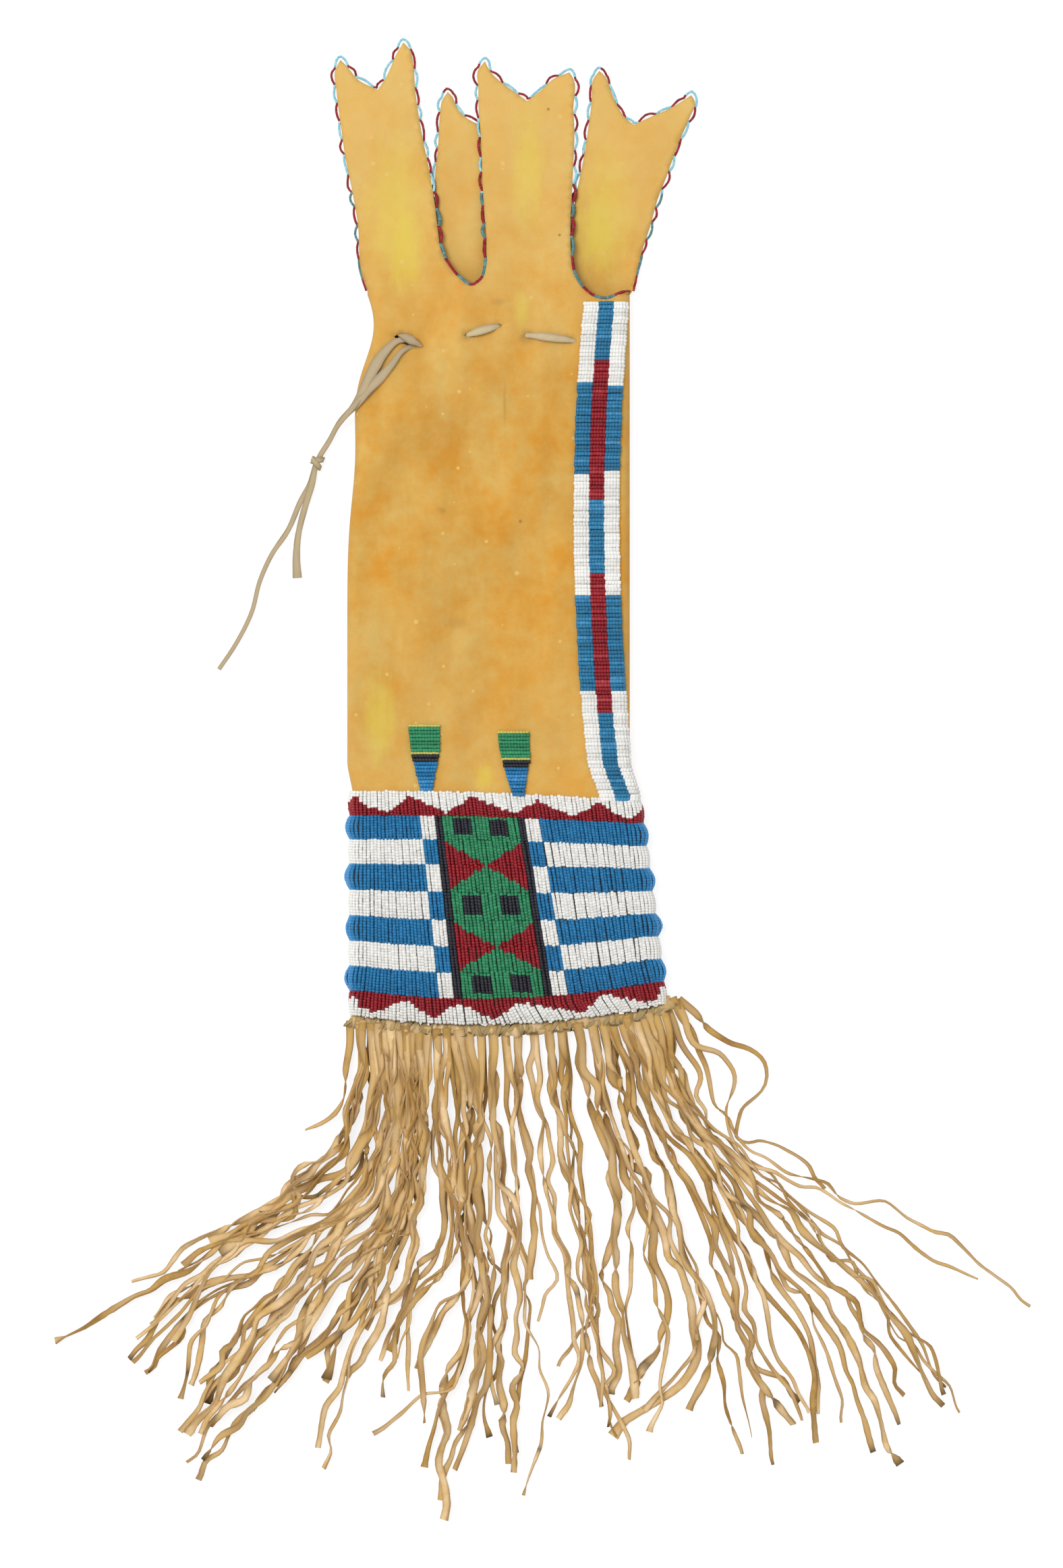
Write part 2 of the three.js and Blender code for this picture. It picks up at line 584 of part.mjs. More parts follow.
function hexagons() {
  const turns = hexagonLanes.flatMap((centre) => [
    centre - HEXAGON_REACH, centre - HEXAGON_SHOULDER, centre + HEXAGON_SHOULDER, centre + HEXAGON_REACH]);
  const rows = [...new Set([...levels(columnTop, columnFoot), ...turns])]
    .filter((lane) => lane >= columnTop && lane <= columnFoot)
    .sort((a, b) => a - b);
  const chain = solid(field(rows, (lane) => -hexagonHalf(lane), hexagonHalf));
  const cuts = hexagonLanes.flatMap((centre) => [-1, 1].map((side) => solid(square(centre, side, CLEARANCE, 1))));
  return geometryOf(cuts.reduce((green, cut) => green.subtract(cut), chain));
}

// A navy square, grown by a margin and thickened both ways when it cuts its own seat
function square(centre, side, margin = 0, thickening = 0) {
  const reach = SQUARE_LANES / 2 + margin / laneHeight;
  const near = side * SQUARE_OFFSET - SQUARE_WIDTH / 2 - margin;
  const far = side * SQUARE_OFFSET + SQUARE_WIDTH / 2 + margin;
  const rings = [centre - reach, centre, centre + reach].map((lane) => {
    const [left, right] = [fromColumn(near), fromColumn(far)];
    const [low, high] = [CLEARANCE - thickening, CLEARANCE + beadHeight(lane) + thickening];
    return [panelPoint(left, lane, low), panelPoint(right, lane, low), panelPoint(right, lane, high), panelPoint(left, lane, high)];
  });
  return loft(rings);
}

// Red field between two hexagons, on one side of the column
function redField(upper, side) {
  const clear = (CLEARANCE * (HEXAGON_REACH - HEXAGON_SHOULDER)) / columnHalf;
  const from = hexagonLanes[upper] + HEXAGON_SHOULDER + 2 * clear;
  const to = hexagonLanes[upper + 1] - HEXAGON_SHOULDER - 2 * clear;
  const outer = side * columnHalf;
  const inner = (lane) => side * Math.min(hexagonHalf(lane) + CLEARANCE, columnHalf - CLEARANCE);
  return field(levels(from, to), (lane) => Math.min(outer, inner(lane)), (lane) => Math.max(outer, inner(lane)));
}

function rail(side) {
  const near = side * (columnHalf + CLEARANCE);
  const far = side * (COLUMN_WIDTH / 2 - CLEARANCE / 2);
  return field(levels(columnTop, columnFoot), () => Math.min(near, far), () => Math.max(near, far));
}

// Side strip

const stripTopY = mouthY - STRIP_TOP;
const stripFootY = panelTopY + PANEL_TOP.left + CLEARANCE;

// Rows that all three lanes share, the lowest where the hide starts to rise on to the panel
const stripSteps = Math.ceil((stripTopY - rampTopY) / STRIP_STEP);
const stripRows = spread(rampTopY + stripSteps * STRIP_STEP, rampTopY, stripSteps);

// A place on the strip, at a distance across from its middle line: past the flat it follows the fold round
function stripPoint(across, y, lift) {
  const place = tubeSection(y);
  const share = (y - stripFootY) / (stripTopY - stripFootY);
  const x = place.right - bow(STRIP_INSET.bottom, STRIP_INSET.middle, STRIP_INSET.top, share) + across;
  const beyond = Math.max(x - place.flatRight, 0);
  const flatShare = Math.min((x - place.flatLeft) / (place.flatRight - place.flatLeft), 1);
  return tubePoint({ share: flatShare, angle: FRONT - beyond / place.radius }, y, lift);
}

function stripBlock(lane, from, to) {
  const near = (lane - 0.5) * STRIP_LANE + CLEARANCE / 2;
  const far = (lane + 0.5) * STRIP_LANE - CLEARANCE / 2;
  const edge = CLEARANCE + BEAD_EDGE;
  const [top, foot] = [from - CLEARANCE / 2, to + CLEARANCE / 2];
  const rows = [top, ...stripRows.filter((y) => y < top - CLEARANCE && y > foot + CLEARANCE), foot];
  return loft(rows.map((y) => [
    ...spread(near, far, BASE_STEPS).map((across) => stripPoint(across, y, CLEARANCE)), stripPoint(far, y, edge),
    stripPoint((near + far) / 2, y, CLEARANCE + BEAD_CROWN), stripPoint(near, y, edge)]));
}

function stripBlocks(lane, name, blocks) {
  let from = stripTopY;
  return blocks.map(([colour, length], i) => {
    const to = i === blocks.length - 1 ? stripFootY : from - length;
    const piece = mesh(`strip_${name}_${colour}_${i + 1}`, stripBlock(lane, from, to), colour);
    from = to;
    return piece;
  });
}

// Tabs

function tab({ x, height }) {
  const foot = panelTopY + PANEL_TOP.left + CLEARANCE;
  return loft(TAB_WIDTHS.map(([share, width]) => {
    const y = foot + share * height;
    const base = tubeSection(y).high + CLEARANCE;
    const point = (side, lift) => new THREE.Vector3(x + (side * width) / 2, y, base + lift);
    return [point(-1, 0), point(1, 0), point(1, BEAD_EDGE), point(0, BEAD_CROWN), point(-1, BEAD_EDGE)];
  }));
}

// Drawstring

function drawstring() {
  const fold = new THREE.Vector3(-half, neckY, 0);
  const free = (places) => places.map(([x, y, z]) => new THREE.Vector3(x, y, z).add(fold));
  const lacing = (x, y, z) => new THREE.Vector3(x, neckY + y, z);
  const ramp = LACE_RAMP / 2;
  const exit = (side) => [lacing(EXIT_X - ramp, side, laceOut), lacing(EXIT_X + ramp, side, laceIn)];
  const stitches = STITCHES.flatMap(([from, to]) => [
    lacing(from - ramp, laceSide, laceIn), lacing(from + ramp, laceSide, laceOut),
    lacing(to - ramp, laceSide, laceOut), lacing(to + ramp, laceSide, laceIn)]);
  const turnX = STITCHES.at(-1)[1] + LACE_TURN;
  const depth = (share) => lerp(laceIn, laceBack, share);
  const turn = [
    lacing(turnX - 5, laceSide, depth(0.25)), lacing(turnX, laceSide - 3, depth(0.45)),
    lacing(turnX, laceSide - 5, depth(0.55)), lacing(turnX - 5, laceSide - 8, depth(0.75))];
  const backRun = [lacing(turnX - LACE_TURN, laceSide - 8, laceBack), lacing(0, laceSide - 8, laceBack)];
  const profile = roundProfile(6, LACE_WIDTH, LACE_THICKNESS);
  const knot = free([KNOT_PLACE]);
  const longEnd = [
    ...smoothPath(free([...LONG_TAIL].reverse()).concat(knot, free([...OUTER_STRAND].reverse())), LONG_END_STEPS),
    ...exit(laceSide), ...stitches, ...turn, ...backRun];
  const shortEnd = [
    ...smoothPath(free([...SHORT_TAIL].reverse()).concat(knot, free([...INNER_STRAND].reverse())), SHORT_END_STEPS),
    ...exit(-laceSide), lacing(EXIT_X + LACE_TURN, laceSide - 8, laceBack), lacing(5, laceSide - 8, laceBack)];
  const knotBall = new THREE.SphereGeometry(1, 8, 6).scale(...KNOT_RADII).translate(...knot[0].toArray());
  return geometryOf(join([sweep(longEnd, profile), sweep(shortEnd, profile), knotBall]));
}

// Fringe

const headingZ = panelSection(lanes).middle;

// A place on the heading's middle line, at a share of the panel's foot from fold to fold
function headingPoint(share) {
  const { left, right } = panelSection(lanes);
  const drop = CLEARANCE + HEADING_HEIGHT / 2;
  return new THREE.Vector3(lerp(left, right, share), panelY(share, lanes) - drop, headingZ);
}

// One more thong hangs between each two neighbours in the list of routes
function thongRoutes() {
  return THONG_ROUTES.flatMap((route, i) => {
    const next = THONG_ROUTES[i + 1];
    if (!next) return [route];
    const between = route.map((value, k) => (
      k === 0 ? (value + next[0]) / 2 : [(value[0] + next[k][0]) / 2, (value[1] + next[k][1]) / 2]));
    return [route, between];
  });
}

// Thongs leave the heading and settle in layers, so that neighbours pass over each other
function thong([share, ...places], i) {
  const root = headingPoint(share);
  const ground = GROUND_GAP + THONG_THICKNESS / 2;
  const spacing = THONG_THICKNESS + CLEARANCE;
  const level = i % THONG_LAYERS;
  const layer = ground + level * spacing;
  const start = root.clone().setZ(headingZ + (level - (THONG_LAYERS - 1) / 2) * spacing);
  const route = places.map(([x, y], k) => (
    new THREE.Vector3(root.x + x, root.y + y, k < places.length - 1 ? layer : ground)));
  const path = smoothPath([start, ...route], THONG_STEPS);
  path.forEach((point) => point.setZ(Math.max(point.z, ground)));
  return sweep(path, flatProfile(THONG_WIDTH, THONG_THICKNESS));
}

function fringe() {
  const heading = spread(...HEADING_SPAN, HEADING_STEPS).map(headingPoint);
  const roll = sweep(heading, roundProfile(8, HEADING_HEIGHT, HEADING_DEPTH));
  return geometryOf(join([roll, ...thongRoutes().map(thong)]));
}

// Assembly

function mesh(name, geometry, finishName) {
  const piece = new THREE.Mesh(geometry, FINISHES[finishName]);
  piece.name = name;
  return piece;
}

const bag = new THREE.Group();
bag.add(mesh('bag_hide', hideGeometry(), 'hide'));
bag.add(mesh('ear_edging_front', edging(frontEdge(), frontEdgingHeight), 'edging'));
bag.add(mesh('ear_edging_back', edging(backEdge(), backEdgingHeight), 'edging'));
bag.add(mesh('drawstring', drawstring(), 'lace'));
bag.add(mesh('fringe', fringe(), 'fringe'));

const panel = new THREE.Group();
bag.add(panel);
for (const [name, lane] of [['top', 0], ['bottom', lanes - 1]]) {
  panel.add(mesh(`border_${name}_white`, border(lane, 'white'), 'white'));
  panel.add(mesh(`border_${name}_red`, border(lane, 'red'), 'red'));
}
for (let lane = 1; lane <= STRIPES; lane += 1) {
  const [colour, other] = lane % 2 ? ['blue', 'white'] : ['white', 'blue'];
  panel.add(mesh(`stripe_${lane}_${colour}`, stripe(lane), colour));
  panel.add(mesh(`check_${lane}_left_${other}`, check(lane, -1), other));
  panel.add(mesh(`check_${lane}_right_${other}`, check(lane, 1), other));
}
panel.add(mesh('hexagons_green', hexagons(), 'green'));
for (const [name, side] of [['left', -1], ['right', 1]]) {
  panel.add(mesh(`rail_${name}`, rail(side), 'navy'));
  panel.add(mesh(`red_upper_${name}`, redField(0, side), 'red'));
  panel.add(mesh(`red_lower_${name}`, redField(1, side), 'red'));
  hexagonLanes.forEach((centre, i) => panel.add(mesh(`square_${i + 1}_${name}`, square(centre, side), 'navy')));
}

const strip = new THREE.Group();
bag.add(strip);
stripBlocks(-1, 'left', SIDE_BLOCKS).forEach((piece) => strip.add(piece));
stripBlocks(0, 'middle', MIDDLE_BLOCKS).forEach((piece) => strip.add(piece));
stripBlocks(1, 'right', SIDE_BLOCKS).forEach((piece) => strip.add(piece));
TABS.forEach((place) => bag.add(mesh(place.name, tab(place), 'blue')));

export default bag;
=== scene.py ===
"""Dresses the solids of a beaded pipe bag with soft hide, seed beads, a drawstring and a fringe.

Lengths inside the functions are millimetres, and turn into metres where a mesh is made.
"""

import math
from collections import defaultdict, namedtuple
from functools import partial

import bmesh
import bpy
import numpy as np
from bpy.props import FloatProperty, FloatVectorProperty, IntProperty, PointerProperty
from bpy.types import Operator, Panel, PropertyGroup
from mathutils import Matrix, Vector, noise
from mathutils.geometry import delaunay_2d_cdt


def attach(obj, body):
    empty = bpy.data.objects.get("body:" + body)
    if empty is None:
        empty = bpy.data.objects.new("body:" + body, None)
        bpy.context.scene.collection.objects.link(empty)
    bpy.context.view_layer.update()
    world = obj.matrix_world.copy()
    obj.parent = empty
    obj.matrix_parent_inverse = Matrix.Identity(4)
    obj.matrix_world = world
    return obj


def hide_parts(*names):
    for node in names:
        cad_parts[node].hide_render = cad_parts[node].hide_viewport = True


bl_info = {
    "name": "Beaded pipe bag",
    "version": (1, 0, 0),
    "blender": (4, 5, 0),
    "location": "View3D > Sidebar > Pipe bag",
    "description": "Dresses the solids of a beaded pipe bag with hide, beads, a drawstring and a fringe",
    "category": "Object",
}

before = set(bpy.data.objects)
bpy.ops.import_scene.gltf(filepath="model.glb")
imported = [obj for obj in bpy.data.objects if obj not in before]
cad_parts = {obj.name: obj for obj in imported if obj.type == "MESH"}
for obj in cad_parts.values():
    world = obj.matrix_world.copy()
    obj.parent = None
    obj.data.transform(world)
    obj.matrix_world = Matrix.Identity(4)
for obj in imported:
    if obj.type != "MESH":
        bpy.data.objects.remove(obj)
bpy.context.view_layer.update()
MM = 0.001
BODY = "root"

# Tube: pressed flat, drawn in at the neck and waist by a depth, middle and reach, and rising on to the panel
HALF_WIDTH = 75.5
DEPTH = 11.4
NECK_Y = 121.0
MOUTH_Y = 145.0
PANEL_TOP_Y = -121.0
RAMP_TOP_Y = -106.0
RAMP = 15.0
PINCH = (14.0, 130.0, 30.0)
WAIST = (4.2, 62.0, 36.0)
PANEL_TUCK = 3.2
PANEL_SPREAD = 4.0
PANEL_RAISE = 2.0
PANEL_FLARE = 14.0
SEAM_DEPTH = 4.8
FRONT = math.pi / 2
BACK = 1.5 * math.pi
UP = (0.0, 0.0, 1.0)

# Lanes of the panel: its top edge and its height at the left, middle and right, and how far lanes bend up
LANES = 9
TAPER_LANES = 2.0
PANEL_RISE = (1.1, 0.0, -3.6)
PANEL_HEIGHT = (119.3, 122.6, 108.7)
LANE_LIFT = (0.022, 0.3, 0.2)
LANE_LIFT_ACROSS = (0.5, 1.0, 0.0)

# Edges of the front and back ears from right to left, in runs that meet at sharp tips and notches
FRONT_EDGE = (
    ((69.8, 145.3), (62.7, 142.6), (57.3, 143.5), (50.7, 148.2), (45.4, 157.5), (44, 168.1), (43.8, 181.4),
     (44.7, 201.4), (45.4, 216.1), (46, 232.1), (45.4, 245.4), (45.4, 261.4), (43.4, 264.7)),
    ((43.4, 264.7), (36, 262), (26.7, 254), (20.7, 249.4)),
    ((20.7, 249.4), (13.4, 254.7), (5.4, 260.7), (0.7, 265.4), (-1.9, 270.7)),
    ((-1.9, 270.7), (-5.9, 265.4), (-5.5, 257.4), (-5.3, 244), (-4.2, 232), (-3.3, 208.1), (-2.6, 194.8),
     (-1, 168.1), (-1.3, 160.1), (-3.9, 152.8), (-9.3, 149.7), (-13.3, 152.1), (-19.9, 158.8), (-25.2, 168.8),
     (-27.2, 181.4), (-29.2, 197.4), (-31.9, 213.4), (-35.2, 229.4), (-37.5, 242.7), (-39.2, 254.7),
     (-40.2, 268), (-41.9, 276.7), (-45.5, 280.7)),
    ((-45.5, 280.7), (-49.2, 274.7), (-54.5, 262.7), (-59.2, 255.4)),
    ((-59.2, 255.4), (-70.5, 261.4), (-75.2, 267.4), (-79.2, 271.4)),
    ((-79.2, 271.4), (-81.8, 266.7), (-81.2, 253.4), (-79.2, 237.4), (-76.5, 218.7), (-73.2, 202.8),
     (-69.9, 184.1), (-67.2, 154.8), (-64.6, 147)),
)
BACK_EDGE = (
    ((77.3, 148.1), (79.3, 157.5), (82.6, 170.8), (86.6, 182.8), (90.6, 197.4), (95.3, 209.4), (98.6, 218.7),
     (102.6, 229.4), (107.9, 241.4), (110.6, 249.4), (108.6, 253.1)),
    ((108.6, 253.1), (104, 250), (98.6, 246.7), (85.3, 240.7), (78, 237.1)),
    ((78, 237.1), (74, 240.1), (69.3, 246.7), (65.3, 256), (62.7, 262.7), (59.3, 266)),
    ((59.3, 266), (56, 261.4), (55.3, 250.7), (53.3, 234.7), (51.3, 221.4), (48.7, 208.1), (46, 194.8),
     (44, 178), (40, 162), (34, 152), (29.5, 150), (26, 156), (22, 180), (17, 215), (13, 243)),
    ((13, 243), (-4, 236.5)),
    ((-4, 236.5), (-13.3, 242), (-17.2, 246.7), (-19.2, 252), (-21.9, 254.7)),
    ((-21.9, 254.7), (-25.2, 249.4), (-25.9, 244), (-27.2, 224.1), (-28.6, 210.7), (-28.5, 190), (-28, 165),
     (-32, 152), (-40, 145), (-50, 143.5), (-58.9, 145)),
)

# Ears and mouth: how far the front ears sink on to the back ones, and how the hide rounds and swells there
EAR_DROP = (7.6, 150.0, 215.0)
EAR_ROOTS = (MOUTH_Y + 5, MOUTH_Y + 25)
MOUTH_ROUND = 25.0
MOUTH_SWELL = (3.5, 168.0, 28.0)
MOUTH_SWELL_SPAN = (5.0, 60.0, 40.0)

# Loose hide: height and size of its lumps, where it starts, and ridges that the drawstring pulls into it
COARSE_LUMPS = (0.75, 48.0)
FINE_LUMPS = (0.3, 17.0)
BACK_LUMPS = (0.3, 30.0)
BACK_LOOSE = (MOUTH_Y + 15, MOUTH_Y + 75)
FRONT_LOOSE = (-92.0, -72.0)
LEFT_TIGHT = 14.0
RIGHT_TIGHT = (52.0, 40.0)
EAR_LOOSENESS = 0.7
EXIT_RIDGES = (0.75, 6, 17.0)
EXIT_CLEAR = (4.0, 9.0)
NECK_RIDGES = (0.45, 4.1, 9.0)
NECK_RIDGES_END = (60.0, 40.0)

# Mesh of the hide
HIDE_STEP = 3.0
PANEL_ROWS = 40
TUBE_ROWS = 88
FOLD_STEPS = 8
FOOT_STEPS = 48
EAR_STEP = 2.4
CLOSEST = 0.6
ROW_SHARE = 0.866
BORDER_GAP = 0.55
GAP_PARTS = 40
WELD = 0.02
STITCH_SLIT = (4.6, 2.6)

# Beads: their step along a lane, and their height and width as a share of the given one with its spread
LANE_BEADS = 9
BEAD_STEP = 1.95
BEAD_FILL = 1.04
BEAD_HEIGHT = (0.92, 0.94, 1.04)
BEAD_WIDTH = (1.07, 0.96, 1.03)
BEAD_JITTER = 0.04
BEAD_SLOTS = ("white", "blue", "red", "green", "navy")

# Panel: a leaning middle column with its rails, hexagons, squares and checks
COLUMN_X = -4.8
COLUMN_LEAN = 13.0
COLUMN_STEP = 32.6 / 17
COLUMN_SPREAD = 0.085
RAIL_STRING = 11
CHECK_STRING = 13
LAST_STRING = 16
STRIPES = 7
HEXAGON_LANES = (1.5, 4.5, 7.5)
HEXAGON_SHOULDER = 0.6
HEXAGON_REACH = 1.5
HEXAGON_HALF = 20.25
SQUARE_OFFSET = 9.2
SQUARE_HALF = 4.6
SQUARE_LANES = 0.31
SQUARE_RISE = 0.056
LEAST_GREEN = 0.9
FOLD_LIFT = 1.2

# How the panel's strings stray: spread of their crowns, drift on the left and right, and splay at the foot
CROWN_SPREAD = (0.7, 1.3)
FULL_CROWN = 1.2
CROWN_FALL = 1.4
FOLD_CROWNS = (0.6, 1.7)
DRIFT = (0.0006, 0.0014)
NUDGE = 20.0
SPLAY = 0.034
SPLAY_RISE = (0.35, 0.55)
SPLAY_FALL = (0.85, 0.97)
SPLAY_FROM = 0.35
# Painted glint: how far blue beads round the folds go on to a painted highlight
FOLD_GLINT = 0.85

# Where the zigzag of each border turns on the front, low points first, how far across its lane it reaches,
# and where its points lie on the folds and the back, counted round the bag
TOP_TURNS = (-53.7, -41.4, -22.8, -7.9, 15.0, 26.2, 43.6, 59.7, 72.1)
FOOT_TURNS = (-60.0, -45.0, -28.9, -15.6, 1.4, 18.1, 47.3, 62.2, 85.1)
TOP_REACH = (0.2, 0.84)
FOOT_REACH = (0.16, 0.8)
TOP_PEAK = 1.5
FOOT_PEAK = 1.2
BACK_SPAN = (2.06, 2.94)
LEFT_PEAK = 3.88

# Side strip: three lanes of colour blocks from the mouth down
STRIP_LANE = 8.0
STRIP_BEADS = 5
STRIP_FILL = 1.14
STRIP_WIDTH = 1.09
STRIP_CROWN = 0.7
STRIP_STRAY = (0.08, 0.18)
STRIP_TOP_Y = 141.0
STRIP_FOOT_Y = -125.0
STRIP_INSET = (8.0, 17.7, 12.4)
SIDE_BLOCKS = (("white", 44), ("blue", 47), ("white", 66), ("blue", 50), ("white", 57))
MIDDLE_BLOCKS = (("blue", 32), ("red", 73), ("blue", 40), ("red", 74), ("blue", 45))
STRIP_LANES = (("left", SIDE_BLOCKS), ("middle", MIDDLE_BLOCKS), ("right", SIDE_BLOCKS))

# Tabs: the middle of their top and foot, their bands of rows from the top, and their width from the foot up
TABS = (((-33.9, -84.2), (-33.1, -119.6)), ((13.3, -87.7), (16.2, -122.2)))
TAB_BANDS = (("yellow", 1, 1.3), ("green", 7, 1.85), ("yellow", 1, 1.2), ("navy", 2, 1.9), ("blue", 8, 1.9))
TAB_SHARES = (0.0, 0.45, 0.55, 1.0)
TAB_WIDTHS = (5.8, 12.9, 15.0, 16.8)
TAB_BEAD_STEP = 1.6
TAB_FILL = 1.03
TAB_CROWN = 0.7
TAB_RISE = (1.6, 118.5, 121.5)
TAB_STRAY = 0.2
TAB_JITTER = 0.05

# Ear edging: scallops of small beads in two colours in turn
SCALLOP = 9.5
SCALLOP_SWING = (0.5, 1.7)
FLAT_SWING = 0.1
SCALLOP_ROOTS = (MOUTH_Y + 12, MOUTH_Y + 30)
EDGE_STEP = 0.4
EDGE_SMOOTHING = 4
EDGE_BEAD_STEP = 1.12
EDGE_JITTER = 0.03
EDGING_START = (75.4, 147.0)
TIP_LOOP = 2.0
TIP_REACH = 5.0
SLIT_TOP_Y = 200.0
SLIT_GIRTH = 1.45
SLIT_SPAN = (-50.0, 72.0)

# Drawstring: the free ends from the slit over the left fold, with their heights, then the lacing inside
LACE_START = ((-36.0, 118.6, 8.6), (-40.5, 120.4, 11.6))
SHORT_START = ((-36.5, 116.2, 8.6), (-41.5, 117.0, 11.6))
OUTER_STRAND = ((-47.5, 120.4, 12.4), (-56, 113.2, 12.4), (-62.6, 102.6, 12.4), (-67.6, 92.4, 12.4),
                (-71.3, 86, 12), (-76.5, 80, 9.5), (-81, 75, 5.5), (-85.5, 67, 3.4))
INNER_STRAND = ((-45.5, 115, 12.4), (-51, 108, 12.4), (-59, 99, 12.4), (-67.4, 89.4, 12.6),
                (-74.4, 82.4, 10), (-79.5, 77.5, 6.5), (-84.5, 69, 3.6))
KNOT_PLACE = (-91.8, 56.5, 3.4)
LONG_TAIL = ((-95.5, 45, 1.5), (-100.5, 36, 0.8), (-107.5, 20, 0.8), (-116.5, 6.5, 0.8), (-122.5, -7, 0.8),
             (-127, -24, 0.8), (-135.5, -41, 0.8), (-144.5, -54.5, 0.8))
SHORT_TAIL = ((-94.5, 45, 2.4), (-98.5, 32, 0.8), (-102, 17.5, 0.8), (-103, 5.5, 0.8), (-102.5, -5.5, 0.8))
LONG_GIRTHS = ((0, 0.06, 0.14, 0.24, 0.3, 0.42, 0.46, 0.7, 1),
               (0.6, 0.8, 1.7, 1.05, 0.72, 0.7, 0.85, 0.66, 0.6))
SHORT_GIRTHS = ((0, 0.08, 0.2, 0.33, 0.42, 0.58, 0.66, 0.86, 1),
                (0.55, 0.75, 1.35, 1.0, 0.72, 0.7, 0.95, 0.85, 1.35))
STITCHES = (((-10.5, 123.6), (5.0, 128.0)), ((21.3, 123.2), (44.8, 120.4)))
EXIT_SLIT = ((-43.0, 120.4), -0.32, 15.0, 5.0)
EXIT_FOLD = ((-47.6, 123.2, 11.9), (-45.4, 122.3, 13.4), (-42, 120.6, 14.2), (-39, 119.2, 13.9),
             (-35.4, 117.3, 11.9))
FOLD_GIRTHS = ((0, 0.25, 0.5, 0.7, 1), (0.4, 1.1, 1.25, 0.8, 0.45))
LACE_STEP = 1.5
LACE_POINTS = 1.6
LACE_TWIST = 0.7
LACE_CLEAR = 0.1
LACE_IN = 9.2
LACE_BACK = 2.2
LACE_ENTRY = ((-35.5, 118.4, 8.4, 0.9), (-24, 120.5, LACE_IN, 0.9))
LACE_RETURN = ((58, 120, 7.2), (62, 117, 5.6), (57, 114, 4.0), (46, 113.5, LACE_BACK),
               (36, 113.5, LACE_BACK), (-16, 113.5, LACE_BACK), (-26, 113.5, LACE_BACK), (-38, 115.5, 6.5))
STITCH_RUN = ((-0.14, LACE_IN, 0.8), (0.03, LACE_IN + 2.2, 0.75), (0.3, 13.0, 1.15), (0.55, 13.1, 1.2),
              (0.8, 12.7, 1.0), (0.97, LACE_IN + 2.0, 0.7), (1.14, LACE_IN, 0.8))
KNOT_TURNS = ((1.6, 2.5, -0.8), (-1.7, 2.7, 0.9))
KNOT_THONG = (2.6, 1.5)

# Fringe: a rolled heading along the foot
HEADING_DROP = 3.55
HEADING_Z = 4.4
HEADING_SPAN = (-0.01, 1.03)
HEADING_LIFT = (4.0, 0.98, 1.04)
ROLL_SECTION = (5.8, 5.0)
ROLL_POINTS = 240
SINEW_SECTION = (1.7, 0.7)

# Stitches of the heading: thin thong whipped round the roll, and dark dashes along its lower side
WHIP_OVAL = (1.06, 0.86)
WHIP_RADIUS = (2.5, 3.4)
WHIP_LEAN = (-2.2, 2.8)
WHIP_GIRTH = (0.6, 1.25)
WHIP_STEP = (0.008, 0.026)
DASH_ODDS = 0.5
DASH_LEAD = 0.008
DASH_LENGTH = (2.0, 4.5)
DASH_RISE = (-0.4, 1.6)
DASH_START = (-2.9, -1.8)
DASH_TOP = 2.3
DASH_RUN = ((0.4, -2.9, 2.1), (1.0, -2.4, 2.2))

# Thongs between the traced ones: how near they start to one of the two, and where they end between them
LAST_FILLED = 0.98
DENSE_TO = 0.25
DENSE_NEARNESS = (0.04, 0.9, 0.96)
NEARNESS = (0.06, 0.94)
WIDEST_GAP = 90.0
FILL_REACH = (0.88, 1.03)
FILL_GOAL = (0.15, 0.85)

# How thongs vary: girths and their odds, kinks, waves and flips along them, and how they pile up
GIRTHS = (0.42, 0.55, 0.7, 0.88, 1.08)
GIRTH_ODDS = (0.12, 0.24, 0.27, 0.24, 0.13)
ROOT_GIRTH = (1.05, 110.0)
TIP_GIRTHS = (-0.2, 0.0, 0.35)
GIRTH_WAVE = 0.16
GIRTH_LENGTH = (8, 18)
GIRTH_NOISE = 0.06
OVER_ODDS = 0.22
OVER_BACK = (0.0, 2.4)
OVER_LIFT = 3.2
ROOT_FALLS = (7.0, 2.4)
THONG_STEP = 3.0
THONG_POINTS = 2.9
KINKS = 60
KINK_STEP = (6, 17)
SWAY = 2.2
SWAY_FROM = 60
SWAY_LENGTH = (15, 40)
WAVE_START = (0, 6)
STRAIGHT_ROOT = 12
TWIST = (0.5, 1.3)
TWIST_LENGTH = (10, 20)
TWIST_FROM = 30
FLIPS = (1, 5)
FLIP_LENGTH = (2, 4.5)
PILE_CELL = 2.0
PILE_LIMIT = 5.0
PILE_SHARE = 0.8
THICKEST = 1.3
THONG_CLEAR = 0.1
THONG_SHADE = (0.72, 0.26)
ROOT_SHADE = (0.75, 40.0)
STAINED_TIPS = 0.25
STAINED_SPOTS = 0.3

